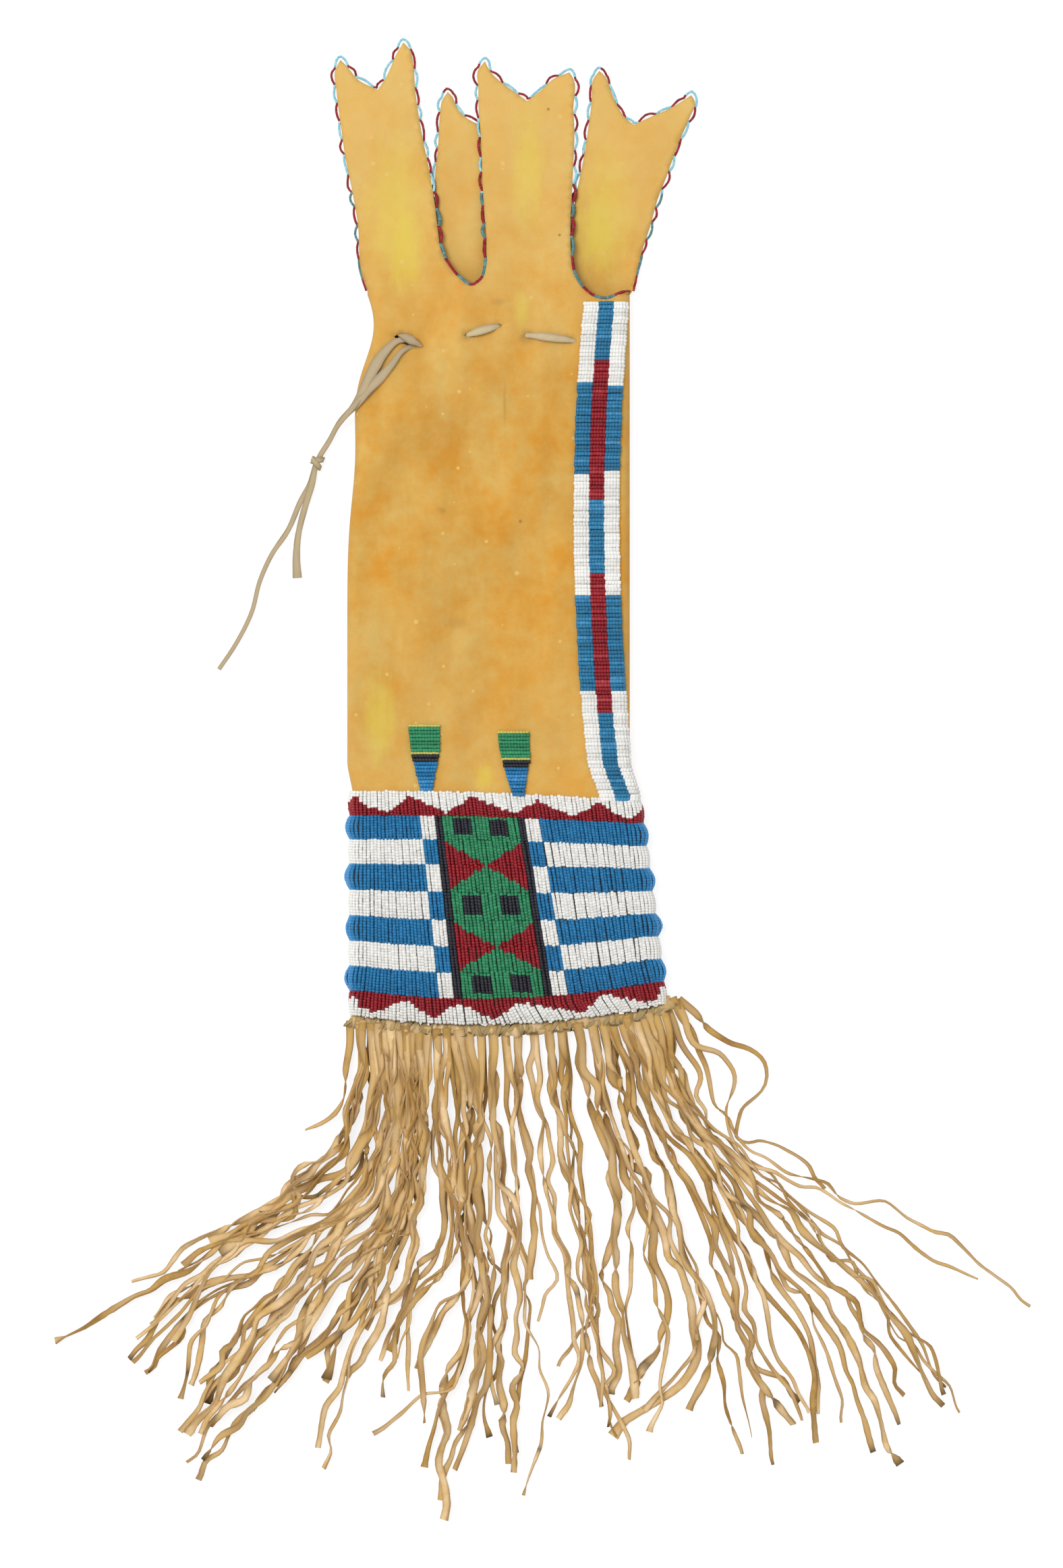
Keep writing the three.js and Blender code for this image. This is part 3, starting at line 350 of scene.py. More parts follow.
# Routes of the thongs that fan out, each with its share along the heading first, then places from its root
THONG_ROUTES = (
    (-0.01, (-1, -16), (-4, -32), (-10, -46), (-18, -55), (-24, -59)),
    (0.02, (0, -33), (-11, -78), (-47, -101), (-104, -137), (-163, -171)),
    (0.03, (-2, -34), (-15, -70), (-39, -91), (-36, -101), (-58, -111), (-97, -128)),
    (0.06, (0, -39), (-13, -84), (-52, -108), (-92, -135), (-127, -167)),
    (0.08, (1, -43), (-13, -93), (-56, -124), (-92, -140), (-132, -180)),
    (0.10, (1, -42), (-13, -96), (-53, -127), (-96, -154), (-112, -199)),
    (0.12, (1, -49), (-11, -96), (-45, -130), (-78, -171), (-111, -217)),
    (0.15, (2, -52), (-9, -99), (-45, -142), (-81, -185), (-116, -232)),
    (0.17, (1, -56), (-8, -106), (-42, -146), (-71, -192), (-113, -241)),
    (0.19, (-1, -59), (-8, -109), (-22, -138), (-42, -165), (-55, -178)),
    (0.21, (-1, -59), (-6, -95), (-24, -138), (-40, -185), (-54, -235)),
    (0.24, (-2, -55), (-3, -91), (-12, -123), (-14, -137), (-31, -155)),
    (0.27, (2, -51), (5, -90), (2, -126), (-16, -150), (-30, -197)),
    (0.30, (3, -51), (4, -94), (11, -133), (-7, -159), (-10, -211)),
    (0.32, (6, -50), (5, -100), (8, -150), (2, -184), (-22, -202), (-43, -216)),
    (0.34, (6, -50), (4, -94), (7, -140), (-3, -187), (-9, -262)),
    (0.37, (4, -50), (5, -97), (9, -144), (12, -184), (-8, -235)),
    (0.41, (2, -50), (4, -94), (6, -140), (1, -180), (-7, -209)),
    (0.45, (3, -54), (7, -94), (9, -137), (6, -187), (7, -235)),
    (0.49, (4, -58), (10, -98), (13, -141), (20, -188), (11, -250)),
    (0.53, (2, -51), (7, -87), (11, -116), (11, -127), (10, -134)),
    (0.58, (4, -55), (11, -95), (20, -131), (26, -171), (8, -208)),
    (0.63, (6, -56), (14, -99), (20, -142), (24, -178), (26, -205)),
    (0.67, (5, -53), (12, -96), (17, -140), (24, -183), (33, -233)),
    (0.72, (13, -54), (18, -98), (14, -137), (18, -170), (21, -198)),
    (0.77, (11, -55), (25, -95), (32, -124), (41, -167), (30, -219)),
    (0.80, (12, -46), (24, -85), (39, -128), (50, -175), (5, -221)),
    (0.83, (13, -46), (31, -90), (45, -133), (59, -180), (69, -233)),
    (0.86, (13, -44), (35, -87), (51, -130), (66, -180), (83, -241)),
    (0.88, (14, -44), (40, -88), (58, -134), (65, -178), (93, -206)),
    (0.91, (15, -45), (42, -88), (64, -135), (87, -178), (96, -229)),
    (0.93, (17, -46), (44, -89), (71, -132), (98, -179), (112, -217)),
    (0.95, (17, -47), (46, -86), (78, -137), (108, -176), (134, -242)),
    (0.97, (17, -48), (46, -84), (86, -123), (129, -159), (153, -211)),
    (1.00, (17, -49), (46, -85), (89, -128), (129, -173), (163, -213)),
    (1.01, (11, -23), (18, -36), (18, -48), (26, -64), (52, -88), (92, -128), (128, -168), (152, -203)),
    (1.03, (14, -34), (23, -63), (66, -92), (120, -115), (193, -164)),
    (1.04, (8, -16), (25, -31), (30, -39), (26, -60), (35, -79), (53, -91), (89, -106), (111, -125),
     (161, -152)),
    (1.05, (17, -13), (39, -32), (42, -43), (30, -60), (29, -75), (38, -79), (56, -80), (70, -88),
     (78, -102)),
)

# Hide's colours: lemon and darker patches with centre, half size and strength, then tints laid on by noise;
# some darker patches are painted shadow by the drawstring's slit and stitches
LEMON_PATCHES = (
    ((-49, 190), (20, 50), 0.4), ((-44, 168), (12, 28), 0.45), ((62, 188), (19, 42), 0.4),
    ((58, 178), (13, 26), 0.4), ((21, 215), (11, 44), 0.4), ((-58, -80), (11, 31), 0.5),
    ((-2, -112), (7, 9), 0.5), ((17.5, 137), (5, 12), 0.4),
)
SMUDGES_AND_SHADOWS = (
    ((6, 141), (5, 3), 0.3), ((-25, 30), (3, 2.5), 0.4), ((17, 24), (1.3, 1.3), 0.9),
    ((-18, -30), (9, 4), 0.2), ((8.7, 85), (1.1, 16), 0.3), ((-30, 70), (34, 26), 0.14),
    # Painted shadow at the drawstring's slit and at the ends of its stitches
    ((-47, 124), (8, 3), 0.35), ((-12, 122), (5, 3), 0.3), ((20, 121), (5, 4), 0.35),
    ((32, 245), (1.2, 1.2), 0.9), ((38, 177), (1.1, 1.1), 0.9),
)
HIDE_TINTS = ((1.0, 1.18, 1.6), (1.0, 0.86, 0.56))
BLOTCH_TINTS = ((1.01, 1.03, 1.1), (0.99, 0.975, 0.92))
CLOUD_SHADES = (0.86, 1.07)
STAIN = (0.02, 0.014, 0.01)

# Where the hide's colour changes along it, in metres: from, to, and its strength at both; under the panel it
# turns to painted shade for the gaps between the beads
PALE_EARS = (0.08, 0.27, 0.0, 0.75)
PALE_FOOT = (-0.02, -0.1, 0.0, 0.25)
SHADE_UNDER_PANEL = (-0.1255, -0.1275, 0.0, 1.0)

# Stage, in metres, with the sensor in millimetres
CAMERA_PLACE = (0.0230, -0.1159)
SENSOR_HEIGHT = 36.0
KEY_PLACE = (-0.9, 0.6, 2.5)
KEY_SIZE = 1.4
FLOOR_Z = -0.0003
FLOOR_HALF = 2.0
WHITE = (1.0, 1.0, 1.0, 1.0)

Section = namedtuple("Section", "flat_left flat_right middle radius")
Bead = namedtuple("Bead", "place along out size tone")
String = namedtuple("String", "start end angle ring offset")
Slack = namedtuple("Slack", "crown drift lean splay nudge")
Strand = namedtuple("Strand", "points normals girth shade tip closed")


# Plain sums

def clamp(value, low=0.0, high=1.0):
    return max(low, min(high, value))


def lerp(start, end, share):
    return start + (end - start) * share


def ramp(value, low, high):
    return clamp((value - low) / (high - low))


def smoothstep(value, low, high):
    share = ramp(value, low, high)
    return share * share * (3 - 2 * share)


def bell(value, middle, reach):
    return math.exp(-((value - middle) / reach) ** 2)


def bow(start, middle, end, share):
    """Value of the parabola through three evenly spaced values."""
    rest = 1 - share
    return start * rest * (1 - 2 * share) + 4 * middle * share * rest + end * share * (2 * share - 1)


def ripple(x, y, size, seed=0.0):
    """Smooth noise between about -1 and 1, with lumps of a size."""
    return noise.noise(Vector((x / size, y / size, seed)))


def smooth_run(points, step):
    """Points about a step apart on a smooth curve through the given ones."""
    given = np.array(points, float)
    chords = np.linalg.norm(np.diff(given, axis=0), axis=1)
    tangents = np.gradient(given, np.concatenate([[0], np.cumsum(chords)]), axis=0)
    run = []
    for i, chord in enumerate(chords):
        count = max(1, round(chord / step))
        t = (np.arange(count) / count)[:, None]
        run.append(
            (2 * t ** 3 - 3 * t ** 2 + 1) * given[i] + (t ** 3 - 2 * t ** 2 + t) * chord * tangents[i]
            + (3 * t ** 2 - 2 * t ** 3) * given[i + 1] + (t ** 3 - t ** 2) * chord * tangents[i + 1])
    return np.concatenate([*run, given[-1:]])


def reach_along(points):
    """Length of a line up to each of its points."""
    return np.concatenate([[0], np.cumsum(np.linalg.norm(np.diff(points, axis=0), axis=1))])


def points_at(points, reach, places):
    """Points of a line at the given lengths along it."""
    return np.stack([np.interp(places, reach, column) for column in points.T], axis=1)


def even_run(points, step):
    """The same line with its points evenly spaced."""
    reach = reach_along(points)
    places = np.linspace(0, reach[-1], max(2, round(reach[-1] / step) + 1))
    return points_at(points, reach, places)


def run_length(points):
    return float(np.linalg.norm(np.diff(points, axis=0), axis=1).sum())


def windows(values, half):
    """Each value with its neighbours on both sides, as rows."""
    padded = np.pad(values, half, mode='edge')
    return np.array([padded[k:k + len(values)] for k in range(2 * half + 1)])


def unit(vectors):
    return vectors / np.linalg.norm(vectors, axis=-1, keepdims=True)


# Sections of the bag, and places on its outside

def make_section(left, right, low, depth):
    radius = depth / 2
    return Section(left + radius, right - radius, low + radius, radius)


def tube_section(y):
    near_panel = clamp((RAMP_TOP_Y - y) / RAMP)
    left = -HALF_WIDTH + PINCH[0] * bell(y, *PINCH[1:]) + WAIST[0] * bell(y, *WAIST[1:])
    left += PANEL_TUCK * near_panel
    return make_section(left, HALF_WIDTH + PANEL_SPREAD * near_panel, PANEL_RAISE * near_panel, DEPTH)


def panel_section(lane):
    taper = clamp((lane - LANES + TAPER_LANES) / TAPER_LANES)
    right = HALF_WIDTH + PANEL_SPREAD + PANEL_FLARE * lane / LANES
    return make_section(-HALF_WIDTH + PANEL_TUCK, right, PANEL_RAISE, lerp(DEPTH, SEAM_DEPTH, taper))


def panel_y(share, lane):
    down = lane / LANES
    down -= LANE_LIFT[0] * bell(down, *LANE_LIFT[1:]) * bow(*LANE_LIFT_ACROSS, share)
    return PANEL_TOP_Y + bow(*PANEL_RISE, share) - bow(*PANEL_HEIGHT, share) * down


def on_section(section, share, angle, lift=0.0):
    reach = section.radius + lift
    across = lerp(section.flat_left, section.flat_right, share)
    return across + reach * math.cos(angle), section.middle + reach * math.sin(angle)


def share_of(section, x):
    """How far a place lies across the flat of a section, from 0 on the left to 1 on the right."""
    return (x - section.flat_left) / (section.flat_right - section.flat_left)


def panel_point(share, angle, lane, lift):
    x, z = on_section(panel_section(lane), share, angle, lift)
    return np.array((x, panel_y(share, lane), z))


def section_at(x, y):
    """Section of the bag through a place seen from above, on the panel or on the tube."""
    lane = 0.0
    for _ in range(3):
        share = share_of(panel_section(lane), x)
        lane = (PANEL_TOP_Y + bow(*PANEL_RISE, share) - y) * LANES / bow(*PANEL_HEIGHT, share)
        lane = clamp(lane, 0.0, LANES)
    return panel_section(lane) if lane > 0 else tube_section(y)


def rim_height(section, x, y):
    """How far the face stands from the middle of the section, rounding off past the flat."""
    beyond = max(section.flat_left - x, x - section.flat_right, 0.0)
    rim = math.sqrt(max(section.radius ** 2 - beyond ** 2, 0.0))
    return lerp(rim, section.radius, smoothstep(y, MOUTH_Y, MOUTH_Y + MOUTH_ROUND))


def gather(x, y):
    """Small ridges that the drawstring pulls into the hide round its exit and its stitches."""
    (exit_x, exit_y), *_ = EXIT_SLIT
    away = math.hypot(x - exit_x, y - exit_y)
    turn = math.atan2(y - exit_y, x - exit_x)
    height, count, reach = EXIT_RIDGES
    ridges = height * math.cos(count * turn + 0.6) * bell(away, 0, reach) * ramp(away, *EXIT_CLEAR)
    height, spacing, reach = NECK_RIDGES
    neck = height * math.sin(x / spacing + 0.8 * ripple(x, y, 20)) * bell(y, NECK_Y + 3, reach)
    return ridges + neck * ramp(x, *NECK_RIDGES_END)


def front_height(x, y):
    section = section_at(x, y)
    height = section.middle + rim_height(section, x, y)
    in_ears = smoothstep(y, *EAR_ROOTS)
    inside = min(clamp((x - section.flat_left) / LEFT_TIGHT), ramp(x, *RIGHT_TIGHT))
    loose = lerp(inside, EAR_LOOSENESS, in_ears) * smoothstep(y, *FRONT_LOOSE)
    coarse = COARSE_LUMPS[0] * ripple(x, 0.7 * y, COARSE_LUMPS[1])
    height += loose * (coarse + FINE_LUMPS[0] * ripple(x, y, FINE_LUMPS[1], 3.0))
    height += lerp(inside, 0, in_ears) * gather(x, y)
    return height - EAR_DROP[0] * smoothstep(y, *EAR_DROP[1:])


def back_height(x, y):
    section = section_at(x, y)
    loose = BACK_LUMPS[0] * smoothstep(y, *BACK_LOOSE) * (1 + ripple(x, y, BACK_LUMPS[1], 7.0))
    middle, *span = MOUTH_SWELL_SPAN
    swell = MOUTH_SWELL[0] * bell(y, *MOUTH_SWELL[1:]) * ramp(abs(x - middle), *span)
    return section.middle - rim_height(section, x, y) + loose + swell


# Nodes

def connect(tree, node, inputs):
    """Sets or links inputs of a node."""
    for key, value in inputs.items():
        if isinstance(value, bpy.types.NodeSocket):
            tree.links.new(value, node.inputs[key])
        else:
            node.inputs[key].default_value = value


def add_node(tree, kind, inputs=None, **settings):
    """Adds a node with its properties and inputs."""
    node = tree.nodes.new(kind)
    for name, value in settings.items():
        setattr(node, name, value)
    connect(tree, node, inputs or {})
    return node


def calc(tree, operation, *values):
    """Result of a math node."""
    return add_node(tree, 'ShaderNodeMath', dict(enumerate(values)), operation=operation).outputs[0]


def vector_calc(tree, operation, *values, output="Vector"):
    """Result of a vector math node."""
    node = add_node(tree, 'ShaderNodeVectorMath', dict(enumerate(values)), operation=operation)
    return node.outputs[output]


def ranged(tree, value, low, high, to_low=0.0, to_high=1.0, kind='LINEAR'):
    """Value moved from one range to another and kept within it."""
    node = add_node(tree, 'ShaderNodeMapRange', {
        "Value": value, "From Min": low, "From Max": high, "To Min": to_low, "To Max": to_high},
        interpolation_type=kind)
    return node.outputs["Result"]


def noise_at(tree, place, scale, detail, roughness=0.5, distortion=0.0):
    node = add_node(tree, 'ShaderNodeTexNoise', {
        "Vector": place, "Scale": scale, "Detail": detail, "Roughness": roughness, "Distortion": distortion})
    return node.outputs["Fac"]


def object_place(tree):
    return add_node(tree, 'ShaderNodeTexCoord').outputs["Object"]


def shader_value(tree, name):
    """Value that a mesh stores under a name, in a material."""
    return add_node(tree, 'ShaderNodeAttribute', attribute_name=name).outputs["Fac"]


def mesh_value(tree, name, kind):
    """Value that a mesh stores under a name, in Geometry Nodes."""
    return add_node(tree, 'GeometryNodeInputNamedAttribute', {"Name": name}, data_type=kind).outputs[0]


def new_group(name, kind, inputs, outputs):
    """Node group with its named sockets: each input has a name, a type and a default."""
    tree = bpy.data.node_groups.new(name, kind)
    for title, socket_type, default in inputs:
        socket = tree.interface.new_socket(title, in_out='INPUT', socket_type=socket_type)
        if default is not None:
            socket.default_value = default
    for title, socket_type in outputs:
        tree.interface.new_socket(title, in_out='OUTPUT', socket_type=socket_type)
    return tree, tree.nodes.new('NodeGroupInput'), tree.nodes.new('NodeGroupOutput')


def patch_group():
    """Soft-edged patch on the hide, round a centre, with a ragged outline."""
    if "hide_patch" in bpy.data.node_groups:
        return bpy.data.node_groups["hide_patch"]
    tree, given, result = new_group(
        "hide_patch", 'ShaderNodeTree',
        [("Centre", 'NodeSocketVector', None), ("Size", 'NodeSocketVector', (0.01, 0.01, 1.0)),
         ("Raggedness", 'NodeSocketFloat', 0.3)],
        [("Mask", 'NodeSocketFloat')])
    place = object_place(tree)
    away = vector_calc(tree, 'SUBTRACT', place, given.outputs["Centre"])
    share = vector_calc(tree, 'DIVIDE', away, given.outputs["Size"])
    flat = vector_calc(tree, 'MULTIPLY', share, (1, 1, 0))
    length = vector_calc(tree, 'LENGTH', flat, output="Value")
    brushed = vector_calc(tree, 'MULTIPLY', place, (190.0, 55.0, 100.0))
    rough = noise_at(tree, brushed, scale=1.0, detail=6.0, roughness=0.7, distortion=0.4)
    lumps = calc(tree, 'SUBTRACT', rough, 0.5)
    spread = calc(tree, 'MULTIPLY', lumps, given.outputs["Raggedness"])
    edge = calc(tree, 'MULTIPLY_ADD', spread, 4.0, length)
    connect(tree, result, {"Mask": ranged(tree, edge, 1.1, 0.1, kind='SMOOTHSTEP')})
    return tree


def grain_group():
    """Nap of tanned hide: mottling, clouds and specks to colour it by, and a height for its bump."""
    if "hide_grain" in bpy.data.node_groups:
        return bpy.data.node_groups["hide_grain"]
    tree, given, result = new_group(
        "hide_grain", 'ShaderNodeTree',
        [("Mottle Scale", 'NodeSocketFloat', 20.0), ("Nap Scale", 'NodeSocketFloat', 900.0)],
        [(name, 'NodeSocketFloat') for name in ("Mottle", "Cloud", "Specks", "Height")])
    place = object_place(tree)
    drawn_out = vector_calc(tree, 'MULTIPLY', place, (1.6, 0.7, 1.0))
    nap = noise_at(tree, place, given.outputs["Nap Scale"], detail=3.0, roughness=0.7)
    creases = noise_at(tree, place, scale=85.0, detail=5.0, roughness=0.6, distortion=0.6)
    dots = add_node(tree, 'ShaderNodeTexVoronoi', {"Vector": place, "Scale": 130.0})
    chosen = add_node(tree, 'ShaderNodeSeparateColor', {"Color": dots.outputs["Color"]})
    size = ranged(tree, chosen.outputs["Red"], 0.4, 1.0, 0.0, 0.19)
    inside = calc(tree, 'SUBTRACT', size, dots.outputs["Distance"])
    connect(tree, result, {
        "Mottle": noise_at(tree, place, given.outputs["Mottle Scale"], detail=9.0, roughness=0.66),
        "Cloud": noise_at(tree, drawn_out, scale=30.0, detail=8.0, roughness=0.6),
        "Specks": ranged(tree, inside, 0.0, 0.07),
        "Height": calc(tree, 'MULTIPLY_ADD', creases, 1.6, nap)})
    return tree


def mix_colour(tree, factor, first, second, blend='MIX'):
    """Mix of two colours, each a socket or red, green and blue."""
    node = add_node(tree, 'ShaderNodeMix', data_type='RGBA', blend_type=blend)
    connect(tree, node, {0: factor})
    for key, value in ((6, first), (7, second)):
        connect(tree, node, {key: value if isinstance(value, bpy.types.NodeSocket) else (*value[:3], 1.0)})
    return node.outputs[2]


def dimmed(colour, share):
    return [share * channel for channel in colour]


def tinted(colour, tint):
    return [channel * by for channel, by in zip(colour, tint)]


def new_material(name):
    """Material with nothing in its tree but its shader."""
    material = bpy.data.materials.new(name)
    material.use_nodes = True
    return material, material.node_tree, material.node_tree.nodes["Principled BSDF"]


def set_bump(tree, shader, height, strength, distance):
    bump = add_node(tree, 'ShaderNodeBump', {"Height": height, "Strength": strength, "Distance": distance})
    connect(tree, shader, {"Normal": bump.outputs["Normal"]})


def grain_node(tree, mottle_scale, nap_scale):
    scales = {"Mottle Scale": mottle_scale, "Nap Scale": nap_scale}
    return add_node(tree, 'ShaderNodeGroup', scales, node_tree=grain_group())


def patched(tree, colour, patches, paint):
    """Paints patches over a colour, one after the other."""
    for (x, y), (half_x, half_y), strength in patches:
        where = {"Centre": (x * MM, y * MM, 0), "Size": (half_x * MM, half_y * MM, 1)}
        patch = add_node(tree, 'ShaderNodeGroup', where, node_tree=patch_group())
        share = calc(tree, 'MULTIPLY', patch.outputs["Mask"], strength)
        colour = mix_colour(tree, share, colour, paint)
    return colour


def hide_material(settings):
    material, tree, shader = new_material("smoked_hide")
    grain = grain_node(tree, mottle_scale=46.0, nap_scale=1100.0)
    warm = ranged(tree, grain.outputs["Mottle"], 0.34, 0.66)
    colour = mix_colour(tree, warm, *(tinted(settings.colour, tint) for tint in HIDE_TINTS))
    shade = ranged(tree, grain.outputs["Cloud"], 0.3, 0.7, *CLOUD_SHADES)
    colour = mix_colour(tree, 1.0, colour, shade, 'MULTIPLY')
    along = add_node(tree, 'ShaderNodeSeparateXYZ', {0: object_place(tree)}).outputs["Y"]
    # The ears and the foot turn paler; under the panel the hide turns dark, as painted shade in the gaps
    # between the beads
    for span, paint in ((PALE_EARS, settings.ear_colour), (PALE_FOOT, settings.ear_colour),
                        (SHADE_UNDER_PANEL, settings.gap_shade)):
        colour = mix_colour(tree, ranged(tree, along, *span), colour, paint)
    colour = mix_colour(tree, 1.0, colour, mix_colour(tree, warm, *BLOTCH_TINTS), 'MULTIPLY')
    colour = patched(tree, colour, LEMON_PATCHES, settings.lemon)
    # Darker spots: handled smudges, and painted shadow by the drawstring
    colour = patched(tree, colour, SMUDGES_AND_SHADOWS, settings.smudge_and_shade)
    specks = calc(tree, 'MULTIPLY', grain.outputs["Specks"], 0.85)
    connect(tree, shader, {
        "Base Color": mix_colour(tree, specks, colour, settings.ear_colour), "Roughness": 0.9,
        "Specular IOR Level": 0.2, "Sheen Weight": 0.15, "Sheen Roughness": 0.5})
    set_bump(tree, shader, grain.outputs["Height"], strength=0.35, distance=0.0006)
    return material


def thong_material(name, colour, dark, light, edge=0.55):
    """Cut hide thong whose strands differ in shade, with darker edges, partly cut edges and partly painted
    shade, and with spots and tips.
    """
    material, tree, shader = new_material(name)
    grain = grain_node(tree, mottle_scale=75.0, nap_scale=1400.0)
    varied = mix_colour(tree, shader_value(tree, "shade"), dark, light)
    mottled = mix_colour(tree, ranged(tree, grain.outputs["Mottle"], 0.3, 0.7), varied, colour)
    # Darker towards the rim: partly the cut edge's own colour, partly painted shade where the thong turns
    # away
    rim = ranged(tree, shader_value(tree, "rim"), 0.4, 1.0, 0.0, edge)
    edged = mix_colour(tree, rim, mottled, dimmed(dark, 0.9))
    connect(tree, shader, {
        "Base Color": mix_colour(tree, shader_value(tree, "tip"), edged, STAIN), "Roughness": 0.85,
        "Specular IOR Level": 0.25})
    set_bump(tree, shader, grain.outputs["Height"], strength=0.4, distance=0.0004)
    return material


def bead_material(settings, glass):
    """Glass seed beads that differ at random from dark to light up to a stored value of 1, and on to a
    painted glint, a painted highlight, at 2.
    """
    name = f"{glass}_glass"
    if name in bpy.data.materials:
        return bpy.data.materials[name]
    colour = getattr(settings, glass)
    material, tree, shader = new_material(name)
    tone = shader_value(tree, "tone")
    spread = lerp(0.24, 0.05, max(colour))
    light = [min(channel, 1) for channel in dimmed(colour, 1 + spread)]
    varied = mix_colour(tree, tone, dimmed(colour, 1 - spread), light)
    # Painted glint: a lighter copy of the glass colour, mixed in where the stored value passes 1
    painted_glint = [min(channel + 0.07, 0.92) for channel in dimmed(colour, 1.8)]
    dust = noise_at(tree, object_place(tree), scale=160.0, detail=3.0)
    connect(tree, shader, {
        "Base Color": mix_colour(tree, ranged(tree, tone, 1.0, 2.0), varied, painted_glint),
        "Specular IOR Level": 0.3, "Roughness": ranged(tree, dust, 0.3, 0.7, 0.24, 0.4)})
    return material


# Geometry Nodes

def bead_tree():
    """A barrel-shaped bead on each point, turned along its string and out of the hide."""
    if "seed_beads" in bpy.data.node_groups:
        return bpy.data.node_groups["seed_beads"]
    tree, given, result = new_group(
        "seed_beads", 'GeometryNodeTree',
        [("Points", 'NodeSocketGeometry', None), ("Sides", 'NodeSocketInt', 8),
         ("Pinch", 'NodeSocketFloat', 0.1), ("Material", 'NodeSocketMaterial', None)],
        [("Beads", 'NodeSocketGeometry')])
    barrel = add_node(tree, 'GeometryNodeMeshCylinder', {
        "Vertices": given.outputs["Sides"], "Side Segments": 2, "Radius": 0.5, "Depth": 1.0})
    place = add_node(tree, 'GeometryNodeInputPosition').outputs[0]
    height = add_node(tree, 'ShaderNodeSeparateXYZ', {0: place}).outputs["Z"]
    narrowing = calc(tree, 'MULTIPLY', calc(tree, 'ABSOLUTE', height), given.outputs["Pinch"])
    girth = calc(tree, 'MULTIPLY_ADD', narrowing, -2.0, 1.0)
    scale = add_node(tree, 'ShaderNodeCombineXYZ', {"X": girth, "Y": girth, "Z": 1.0})
    bead = add_node(tree, 'GeometryNodeSetPosition', {
        "Geometry": barrel.outputs["Mesh"],
        "Position": vector_calc(tree, 'MULTIPLY', place, scale.outputs[0])})
    along, out, size = (mesh_value(tree, name, 'FLOAT_VECTOR') for name in ("along", "out", "size"))
    turn = add_node(tree, 'FunctionNodeAxesToRotation', {"Primary Axis": along, "Secondary Axis": out},
                    primary_axis='Z', secondary_axis='X')
    beads = add_node(tree, 'GeometryNodeInstanceOnPoints', {
        "Points": given.outputs["Points"], "Instance": bead.outputs["Geometry"],
        "Rotation": turn.outputs[0], "Scale": size})
    real = add_node(tree, 'GeometryNodeRealizeInstances', {"Geometry": beads.outputs["Instances"]})
    smooth = add_node(tree, 'GeometryNodeSetShadeSmooth', {"Geometry": real.outputs["Geometry"]})
    painted = add_node(tree, 'GeometryNodeSetMaterial', {
        "Geometry": smooth.outputs["Geometry"], "Material": given.outputs["Material"]})
    connect(tree, result, {"Beads": painted.outputs["Geometry"]})
    return tree


def thong_section(tree, given):
    """Section of a thong, as wide and thick as given, which stores how near each point is to its rim."""
    half_side = calc(tree, 'DIVIDE', math.pi, given.outputs["Sides"])
    radius = calc(tree, 'DIVIDE', 0.5, calc(tree, 'COSINE', half_side))
    circle = add_node(tree, 'GeometryNodeCurvePrimitiveCircle', {
        "Resolution": given.outputs["Sides"], "Radius": radius})
    turn = add_node(tree, 'ShaderNodeCombineXYZ', {"Z": half_side}).outputs[0]
    square = add_node(tree, 'GeometryNodeTransform', {"Geometry": circle.outputs["Curve"], "Rotation": turn})
    scale = add_node(tree, 'ShaderNodeCombineXYZ', {
        "X": given.outputs["Thickness"], "Y": given.outputs["Width"], "Z": 1.0})
    profile = add_node(tree, 'GeometryNodeTransform', {
        "Geometry": square.outputs["Geometry"], "Scale": scale.outputs[0]})
    fine = add_node(tree, 'GeometryNodeSubdivideCurve', {"Curve": profile.outputs["Geometry"], "Cuts": 1})
    place = add_node(tree, 'GeometryNodeInputPosition').outputs[0]
    across = calc(tree, 'ABSOLUTE', add_node(tree, 'ShaderNodeSeparateXYZ', {0: place}).outputs["Y"])
    share = calc(tree, 'DIVIDE', across, calc(tree, 'MULTIPLY', given.outputs["Width"], 0.5))
    rimmed = add_node(tree, 'GeometryNodeStoreNamedAttribute', {
        "Geometry": fine.outputs["Curve"], "Name": "rim", "Value": share}, data_type='FLOAT', domain='POINT')
    return rimmed.outputs["Geometry"]


